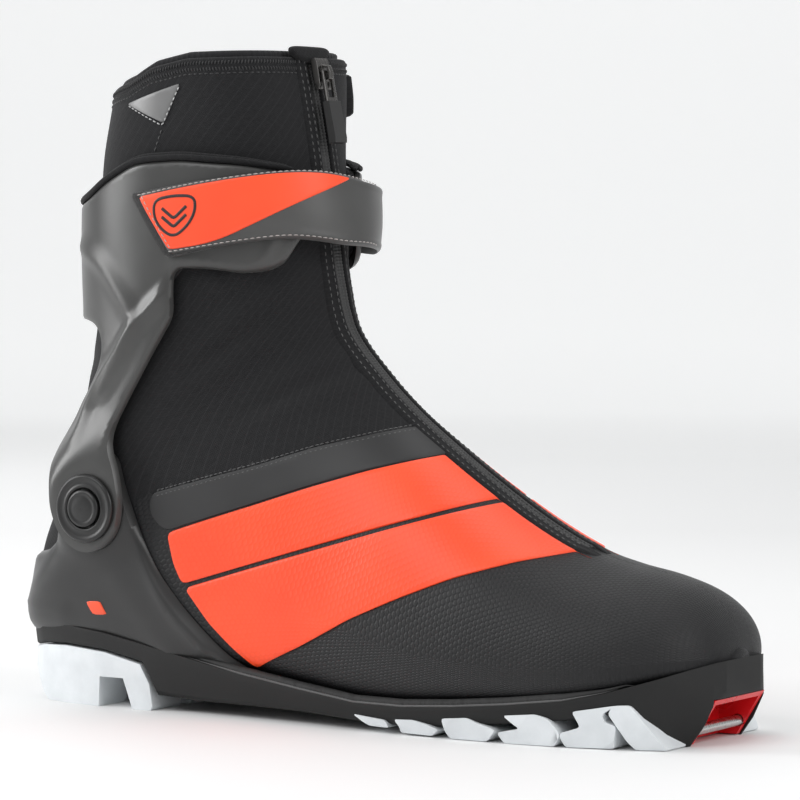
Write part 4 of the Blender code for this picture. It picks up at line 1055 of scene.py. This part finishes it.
strap = trimmedSkin("strap_body", strapLoop, strapPlastic, strapForm["inner"], strapForm["outer"], edge=0.9,
                    front=strapGap, lift=strapLift)
settle(strap, "strap", "strap_dark", "strap_band")
filmLoop = np.concatenate([edgeLine(strapForm["filmTop"], 1.0, -0.3),
                           edgeLine(strapForm["filmLow"], 1.0)[::-1]])
film = trimmedSkin("strap_colour_film", roundLine(evenly(filmLoop, 2.0, True), 1.2, True), strapOrange, 10.3,
                   strapForm["filmHigh"], edge=0.35, front=strapGap, step=1.4)
settle(film, "strap", "orange_film", "strap_film")
hookLoop = sideLoop(strapForm["hooks"], 1, 2.0)
hook = trimmedSkin("strap_hooks", hookLoop, pile, 7.35, 8.3, edge=0.5, front=strapGap)
settle(hook, "strap", "hook_pile", "strap_hook_pad")
loops = trimmedSkin("cuff_loops", hookLoop, pile, 6.0, 7.05, edge=0.5)
settle(loops, "cuff", "hook_pile", "cuff_loop_pad")
rows = []
for line, shift, height in ((strapForm["top"][:6], -0.9, 10.95), (strapForm["low"][:7], 1.0, 10.75)):
    turn, place = fromFlat(edgeLine(line, 0.6, shift))
    path, normal = laidOn(turn, place, height, strapGap)
    rows.append((path, normal, 2.3, 1.6, 0.22, 0.0))
turn, place = fromFlat(evenly(toFlat(np.array([1.625, 1.43]), np.array([24.78, 23.3])), 0.6))
path, normal = laidOn(turn - 0.02, place, 10.95, strapGap)
rows.append((path, normal, 2.3, 1.6, 0.22, 0.0))
stitches("strap_stitching", rows, lightThread, "strap", "strap_dark")

# a plain shield with two chevrons, each a flat cord on the film
shieldCentre = np.array([-62.4, 187.4])
shield = np.array([(-7.2, 6.6), (0, 7.6), (7.2, 6.6), (7.4, 0), (4.6, -5.6), (0, -9.4), (-4.6, -5.6),
                   (-7.4, 0)])
chevron = np.array([(-4, 2.6), (0, -1.6), (4, 2.6)])
parts = []
path, normal = surfaceLine(shieldCentre + shield * 0.93, 1, 10.95, 0.7, 3.0, True, strapGap)
parts.append(tubeMesh(path, 0.55, 6, True, 0.35, normal))
for drop in (0, -3.2):
    path, normal = surfaceLine(shieldCentre + chevron + (0, drop), 1, 10.95, 0.7, 1.0, False, strapGap)
    parts.append(tubeMesh(path, 0.6, 6, False, 0.35, normal))
points, faces = joinMeshes(parts)
emblem = newPiece("strap_emblem", points, faces, innerPaint)
settle(emblem, "strap", "orange_film")
print("strap made")


def frontPoint(across, place, height):
    # a point of the surface at a chosen distance across the mid plane, near the front
    row = readRows(place)
    half = np.where(across < 0, row[..., 4], row[..., 5])
    wide = np.clip(np.abs(across) / (half + height), 0, 0.999)
    deep = (1 - wide ** row[..., 7]) ** (1 / row[..., 7])
    turn = np.arctan2(-np.sign(across) * wide, deep)
    return bootPoint(turn, place, height)


zipStart, zipEnd = 6.55, 27.72
zipPlaces = np.linspace(zipStart, zipEnd, 620)
# the cover's cross section from the slit outwards, the same on both sides
cover = {"across": [2.9, 3.1, 3.5, 4.2, 5.0, 6.0, 7.0, 8.2, 9.0, 9.6],
         "height": [0.1, 0.75, 1.15, 1.3, 1.1, 0.85, 1.05, 0.95, 0.35, -0.3], "foot": -0.6}
half = np.array(cover["across"])
profileAcross = np.concatenate([-half[::-1], half])
profileHeight = np.array(cover["height"][::-1] + cover["height"])
endFade = np.sqrt(np.clip((zipPlaces - zipStart) / 0.35, 0, 1))
width = 0.55 + 0.45 * smoothStep(zipStart - 0.2, zipStart + 0.5, zipPlaces)
across, placeGrid = np.meshgrid(profileAcross, zipPlaces)
heightGrid = profileHeight[None, :] * endFade[:, None] - 0.3 * (1 - endFade[:, None])
top = frontPoint(across * width[:, None], placeGrid, heightGrid)
bottom = frontPoint(across * width[:, None], placeGrid, np.full(across.shape, cover["foot"]))
points, faces = ribbon(top, bottom)
lengths = np.repeat(np.interp(zipPlaces, fanPlace, spineLength)[:, None], 2 * across.shape[1], 1)
uv = np.stack([np.concatenate([across, across[:, ::-1]], 1), lengths], -1).reshape(-1, 2)
placket = newPiece("zip_cover", points, faces, hemCloth, uv, 60)
settleFlex(placket, "upper_fabric", "zip_placket_lower", "zip_placket_ankle", "zip_placket_upper",
           "zip_end_patch")

# the closed zip: a ribbed tape, one rib for each coil turn
front = frontPoint(np.zeros(400), np.linspace(zipStart + 0.35, zipEnd, 400), np.full(400, 0.6))
walked = np.concatenate([[0], np.cumsum(np.linalg.norm(np.diff(front, axis=0), axis=1))])
ribPitch = 1.25
ribCount = int(walked[-1] / ribPitch)
at = np.linspace(0, walked[-1], ribCount * 4)
ribPlace = np.interp(at, walked, np.linspace(zipStart + 0.35, zipEnd, 400))
tapeAcross = np.linspace(-2.6, 2.6, 9)
across, placeGrid = np.meshgrid(tapeAcross, ribPlace)
rib = 0.5 + 0.5 * np.cos(2 * math.pi * (at / walked[-1] * ribCount))
seamDip = 0.35 * np.exp(-(across / 0.45) ** 2)
heightGrid = 0.75 + 0.28 * rib[:, None] - seamDip - 0.45 * (np.abs(across) / 2.6) ** 4
top = frontPoint(across, placeGrid, heightGrid)
bottom = frontPoint(across, placeGrid, np.full(across.shape, -0.2))
points, faces = ribbon(top, bottom)
coilMaterial = mouldedPlastic("zip_coil", (0.022, 0.022, 0.022), 0.5)
coil = newPiece("zip_coil", points, faces, coilMaterial)
settleFlex(coil, "hook_pile", "zip_coil_lower", "zip_coil_ankle", "zip_coil_upper")
rows = []
for offset, height in ((-4.7, 1.3), (-7.6, 1.05), (4.7, 1.3), (7.6, 1.05)):
    placeLine = np.linspace(zipStart + 0.45, zipEnd - 0.1, 500)
    path = frontPoint(np.full(500, offset), placeLine, np.full(500, height))
    normal = frontPoint(np.full(500, offset), placeLine, np.full(500, height + 1)) - path
    rows.append((path, normal, 2.6, 1.8, 0.22, 0.0))
points, faces = stitchMesh(rows)
zipStitch = newPiece("zip_stitching", points, faces, greyThread)
settleFlex(zipStitch, "upper_fabric")
# the rounded flap that hides the slider's top stop
angle = 2 * math.pi * np.arange(60) / 60
flapTurn = 0.30 * np.sign(np.cos(angle)) * np.abs(np.cos(angle)) ** 0.8 + 0.03
flapLoop = toFlat(flapTurn, 27.86 + 0.36 * np.sin(angle))
flap = trimmedSkin("zip_garage_flap", flapLoop, hemCloth, 0.9, 3.2, edge=1.1, step=1.2)
settle(flap, "cuff", "upper_fabric", "zip_garage")
print("zip made")

turn = 2 * math.pi * np.arange(420) / 420
rows = []
for drop, height, pitch, length, slant in ((1.2, 0.35, 1.25, 1.5, 1.25), (3.6, 0.2, 1.25, 1.5, -1.25),
                                           (5.3, 0.1, 2.2, 1.6, 0.0)):
    place = rimPlace(turn, 0.0, drop)
    flare = collarFlare(turn, place)
    path = bootPoint(turn, place, flare + height)
    normal = bootPoint(turn, place, flare + height + 1) - path
    path = np.concatenate([path, path[:1]])
    normal = np.concatenate([normal, normal[:1]])
    rows.append((path, normal, pitch, length, 0.26, slant))
points, faces = stitchMesh(rows)
hem = newPiece("collar_overlock", points, faces, darkThread)
settle(hem, "cuff", "upper_fabric", "collar_hem")

reflector = [(-91, 230.2), (-64.4, 237.6), (-71.5, 222.6)]
rows = []
for sideName, side in (("lateral", 1), ("medial", -1)):
    patch = trimmedSkin(f"reflective_patch_{sideName}", sideLoop(reflector, side, 1.2), patchFilm, 0.05,
                        0.55, edge=0.4, step=1.3)
    settle(patch, "cuff", "reflector", f"reflector_{sideName}")
    path, normal = surfaceLine([(-90, 229.6), (-72.2, 221.7), (-64.8, 236.4)], side, 0.45, radius=1.5)
    rows.append((path, normal, 2.0, 1.4, 0.26, 0.0))
stitches("reflector_stitching", rows, thread("white_thread", (0.55, 0.55, 0.55)), "cuff", "reflector")
rows = []
for side in (1, -1):
    path, normal = surfaceLine([(-72.5, 220.5), (-75.5, 213), (-78, 205)], side, 0.25, radius=3)
    rows.append((path, normal, 2.2, 1.5, 0.24, 0.0))
stitches("collar_seam_stitching", rows, greyThread, "cuff", "upper_fabric")
tabLine = [(-46.5, 241.5), (-37.5, 242.5), (-35.5, 233), (-36.5, 225.5), (-45, 225)]
tab = trimmedSkin("collar_pull_tab", sideLoop(tabLine, -1, 1.5), hemCloth, 0.6, 4.6, edge=1.4, step=1.3)
settle(tab, "cuff", "upper_fabric", "pull_tab")
print("collar made")

# double stitch lines on the foot, either side of the bands' front ends and along the films
rows = []
for side in (1, -1):
    for shift in (0.0, 2.2):
        path, normal = surfaceLine([(50.5 - shift, 103.0 - shift), (60 - shift, 95.6 - 0.7 * shift),
                                    (76 - shift, 82.4 - 0.7 * shift), (94 - shift, 69.5 - 0.3 * shift)], side,
                                   0.85, radius=5)
        rows.append((path, normal, 2.1, 1.5, 0.22, 0.0))
stitches("band_stitching", rows, darkThread, "boot", "upper_fabric")
rows = []
for side in (1, -1):
    for rise in (0.6, -1.4):
        filmTop = ((-74, 83.6), (-54, 89), (-31, 95), (-9, 102), (13, 107.5), (31, 111.8))
        line = [(x, z + rise) for x, z in filmTop]
        path, normal = surfaceLine(line, side, 0.5, radius=6)
        rows.append((path, normal, 2.0, 1.4, 0.2, 0.0))
stitches("film_stitching", rows, greyThread, "boot", "upper_fabric")
print("stitching made")

soleRows = np.array([
    (-151.5, 27.6, 22.0, 6.0, 6.0, 5.0, 5.0), (-150.0, 27.9, 20.6, 13.0, 13.0, 12.0, 12.0),
    (-145.5, 28.6, 20.2, 21.0, 21.0, 20.0, 20.0), (-137.0, 29.6, 22.0, 28.0, 28.0, 27.0, 27.0),
    (-122.0, 30.4, 22.8, 34.0, 34.0, 33.0, 33.0), (-102.0, 28.6, 21.6, 37.0, 36.5, 36.0, 35.5),
    (-83.0, 25.4, 18.0, 38.0, 36.5, 37.0, 35.0), (-77.0, 24.3, 6.0, 38.5, 36.0, 36.5, 33.5),
    (-58.0, 20.9, 5.0, 39.5, 35.5, 37.0, 32.0), (-36.0, 17.0, 5.0, 41.0, 35.5, 38.5, 32.5),
    (-8.0, 13.3, 4.6, 43.5, 37.5, 41.0, 35.0), (18.0, 10.4, 3.4, 46.5, 41.0, 44.5, 38.5),
    (40.0, 10.4, 3.2, 48.5, 43.5, 46.5, 41.5), (62.0, 11.9, 4.4, 49.5, 46.0, 47.5, 44.0),
    (84.0, 14.0, 7.0, 49.5, 46.8, 47.5, 44.8), (106.0, 16.6, 9.4, 47.8, 45.3, 46.0, 43.5),
    (120.0, 19.6, 11.8, 44.6, 42.4, 43.0, 41.0), (128.0, 22.0, 13.0, 42.0, 40.2, 41.0, 39.5)])


def weltPath(side, rise, inset, low=-152.0, high=128.0):
    # the line along the top edge of the sole, a little inside its outline
    x = np.linspace(low, high, 420)
    z = np.interp(x, soleRows[:, 0], soleRows[:, 1]) + rise
    y = np.interp(x, soleRows[:, 0], soleRows[:, 3] if side < 0 else soleRows[:, 4]) - inset
    return np.stack([x, side * y, z], -1)


def weltTube(name, rise, inset, radius, material, low, high):
    # a cord along both sides of the sole's top edge
    parts = []
    for side in (-1, 1):
        path = weltPath(side, rise, inset, low, high)
        taper = np.minimum(1, np.minimum(np.arange(len(path)), np.arange(len(path))[::-1]) / 60 + 0.05)
        parts.append(tubeMesh(path, radius * taper, 8))
    points, faces = joinMeshes(parts)
    cord = newPiece(name, points, faces, material)
    settle(cord, "boot", "sole_rubber")


weltTube("welt_filler", 0.9, 2.2, 1.9, grooveRubber, -66.0, 131.0)
weltTube("welt_thread", 0.35, 0.35, 0.42, greyThread, -60.0, 126.0)

# the tread's lugs in side view: each wraps over the lower edge of the sole
lugLines = [
    [(17.6, 6.2), (32.5, 5.0), (34.0, 2.2), (24.8, 2.4)],
    [(36.3, 5.6), (44.6, 6.0), (51.0, 4.8), (56.0, 3.2), (52.3, 0.6), (38.5, 0.8), (39.0, 3.0)],
    [(57.1, 7.4), (68.0, 8.4), (72.4, 6.8), (77.3, 5.6), (80.0, 4.6), (75.4, 0.2), (59.8, 0.2), (58.4, 3.6)],
    [(82.9, 10.2), (95.8, 11.4), (100.7, 10.1), (103.6, 7.2), (105.6, 4.6), (102.6, 0.2), (82.3, 0.1),
    (80.6, 4.0),
     (89.7, 5.9), (87.2, 7.2)],
    [(109.7, 13.1), (125.6, 15.9), (120.6, 12.6), (121.4, 9.9), (125.6, 8.6), (124.4, 0.4), (106.6, 0.2),
    (105.2, 5.2),
     (112.9, 7.7)],
    [(124.5, 15.8), (130.4, 16.1), (142.8, 0.3), (131.6, 0.2), (122.7, 12.9)]]


def lugMesh(outline, side, deep):
    # a side view outline carried inwards from the sole's wall
    line = evenly(roundLine(outline, 1.1, True, 5), 1.0, True)
    edges = [(i, (i + 1) % len(line)) for i in range(len(line))]
    made = delaunay_2d_cdt([tuple(p) for p in line], edges, [], 1, 1e-5)
    flat = np.array([tuple(p) for p in made[0]])
    column = 3 if side < 0 else 4
    wall = np.interp(flat[:, 0], soleRows[:, 0], soleRows[:, column + 2]) + 1.6
    wall -= 5.0 * smoothStep(126, 144, flat[:, 0])
    wall = wall - 1.6 * smoothStep(4.0, 0.0, flat[:, 1])
    outer = np.stack([flat[:, 0], side * wall, flat[:, 1]], -1)
    inner = np.stack([flat[:, 0], side * (wall - deep), flat[:, 1]], -1)
    count = len(flat)
    faces = faceOut(outer, np.array([tuple(f) for f in made[2]]), np.tile([0.0, side, 0.0], (count, 1)))
    directed = np.concatenate([faces[:, [0, 1]], faces[:, [1, 2]], faces[:, [2, 0]]])
    first, times = np.unique(np.sort(directed, 1), axis=0, return_index=True, return_counts=True)[1:]
    rim = [(int(b), int(a), int(a) + count, int(b) + count) for a, b in directed[first[times == 1]]]
    return (np.concatenate([outer, inner]), [tuple(f) for f in faces.tolist()]
            + [tuple(f) for f in (faces[:, ::-1] + count).tolist()] + rim)


points, faces = joinMeshes([lugMesh(line, side, 17.0) for line in lugLines for side in (-1, 1)])
lugs = newPiece("forefoot_lugs", points, faces, whiteRubber, None, 30)
soften = lugs.modifiers.new("soft_edge", "BEVEL")
soften.width = 0.45 * mm
soften.segments = 3
soften.limit_method = "ANGLE"
soften.angle_limit = math.radians(40)
settle(lugs, "boot", "tread_rubber", "forefoot_tread")


def finishCad(node, material, bevel=0.0, segments=2, angle=32.0):
    # keeps a CAD piece, with its own finish and softened edges
    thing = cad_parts[node]
    thing.data.materials.clear()
    thing.data.materials.append(material)
    weld = thing.modifiers.new("weld", "WELD")
    weld.merge_threshold = 0.00001
    if bevel:
        edge = thing.modifiers.new("soft_edge", "BEVEL")
        edge.width = bevel * mm
        edge.segments = segments
        edge.limit_method = "ANGLE"
        edge.angle_limit = math.radians(angle)
    thing.data.shade_smooth()
    sharp = thing.modifiers.new("normals", "WEIGHTED_NORMAL")
    sharp.keep_sharp = True


for node, material, bevel in (("outsole", soleRubber, 0.5), ("heel_tread", whiteRubber, 1.6),
                              ("toe_bar_housing", redLiner, 0.35), ("toe_bar", steel, 0.0),
                              ("lasting_board", boardFibre, 0.0),
                              ("insole", liningCloth, 0.6), ("tongue", liningCloth, 0.8),
                              ("strap_anchor", strapPlastic, 0.5),
                              ("strap_rivet_upper", steel, 0.0), ("strap_rivet_lower", steel, 0.0),
                              ("zip_slider", zipMetal, 0.35),
                              ("pull_link", zipMetal, 0.3), ("pull_grip", gripRubber, 0.6)):
    finishCad(node, material, bevel)
print("sole and small parts finished")

world = bpy.context.scene.world or bpy.data.worlds.new("world")
bpy.context.scene.world = world
world.use_nodes = True
world.node_tree.nodes["Background"].inputs[0].default_value = (0.93, 0.94, 0.95, 1)
world.node_tree.nodes["Background"].inputs[1].default_value = 0.47
bpy.context.scene.view_settings.view_transform = "Standard"


def stageMaterial():
    # plain pale paper with a painted glow: an emission that grows towards its far end
    n = Nodes("pale_floor")
    far = n.vector("LENGTH", n.place())
    n.give(n.shader, "Emission Color", (0.97, 0.98, 0.98, 1))
    # painted glow: the emission strength rises with distance from the origin
    n.give(n.shader, "Emission Strength", n.ramp(far, 0.9, 2.6, 0.0, 0.34))
    return n.set(color=(0.83, 0.83, 0.83, 1), rough=0.75)


reach, curve = 3200.0, 700.0
sweep = []
for t in np.linspace(0, 1, 24):
    angle = t * math.pi / 2
    sweep.append((curve * math.sin(angle), curve * (1 - math.cos(angle))))
line = np.array([(-reach, 0.0)] + [(2300 + a, b) for a, b in sweep] + [(2300 + curve, 2600.0)])
across = np.array([-reach, reach])
ahead = np.array([-0.529, 0.849])
sidewards = np.array([0.849, 0.529])
grid = np.array([[(ahead[0] * a + sidewards[0] * w, ahead[1] * a + sidewards[1] * w, z) for w in across]
                 for a, z in line])
floor = newPiece("floor", grid.reshape(-1, 3), gridFaces(len(line), 2, False), stageMaterial())
floor.data.shade_smooth()


def addLight(name, place, target, size, power, color=(1, 1, 1)):
    light = bpy.data.lights.new(name, "AREA")
    light.shape = "RECTANGLE"
    light.size, light.size_y = size
    light.energy = power
    light.color = color
    holder = bpy.data.objects.new(name, light)
    holder.location = place
    direction = np.array(target) - np.array(place)
    holder.rotation_euler = Vector(direction).to_track_quat("-Z", "Y").to_euler()
    bpy.context.scene.collection.objects.link(holder)


addLight("key_light", (-0.3, -1.3, 1.25), (0, 0, 0.08), (1.2, 0.9), 9)
addLight("side_light", (1.35, -0.2, 0.75), (0, 0, 0.1), (0.7, 1.0), 9)
addLight("top_light", (0.0, 0.3, 1.6), (0, 0, 0.1), (1.4, 1.0), 7.5)
addLight("left_light", (-1.15, -0.55, 0.55), (-0.08, 0, 0.14), (0.45, 0.8), 9)
addLight("back_light", (-1.2, 0.7, 0.9), (0, 0, 0.12), (0.7, 0.9), 3.5)

camera = bpy.data.cameras.new("camera")
camera.sensor_width = 36
camera.lens = 179.4
camera.clip_end = 20
holder = bpy.data.objects.new("camera", camera)
holder.location = (0.798505, -1.266158, 0.187751)
holder.rotation_euler = (math.radians(90 - 2.642), 0, math.radians(31.932))
bpy.context.scene.collection.objects.link(holder)
bpy.context.scene.camera = holder
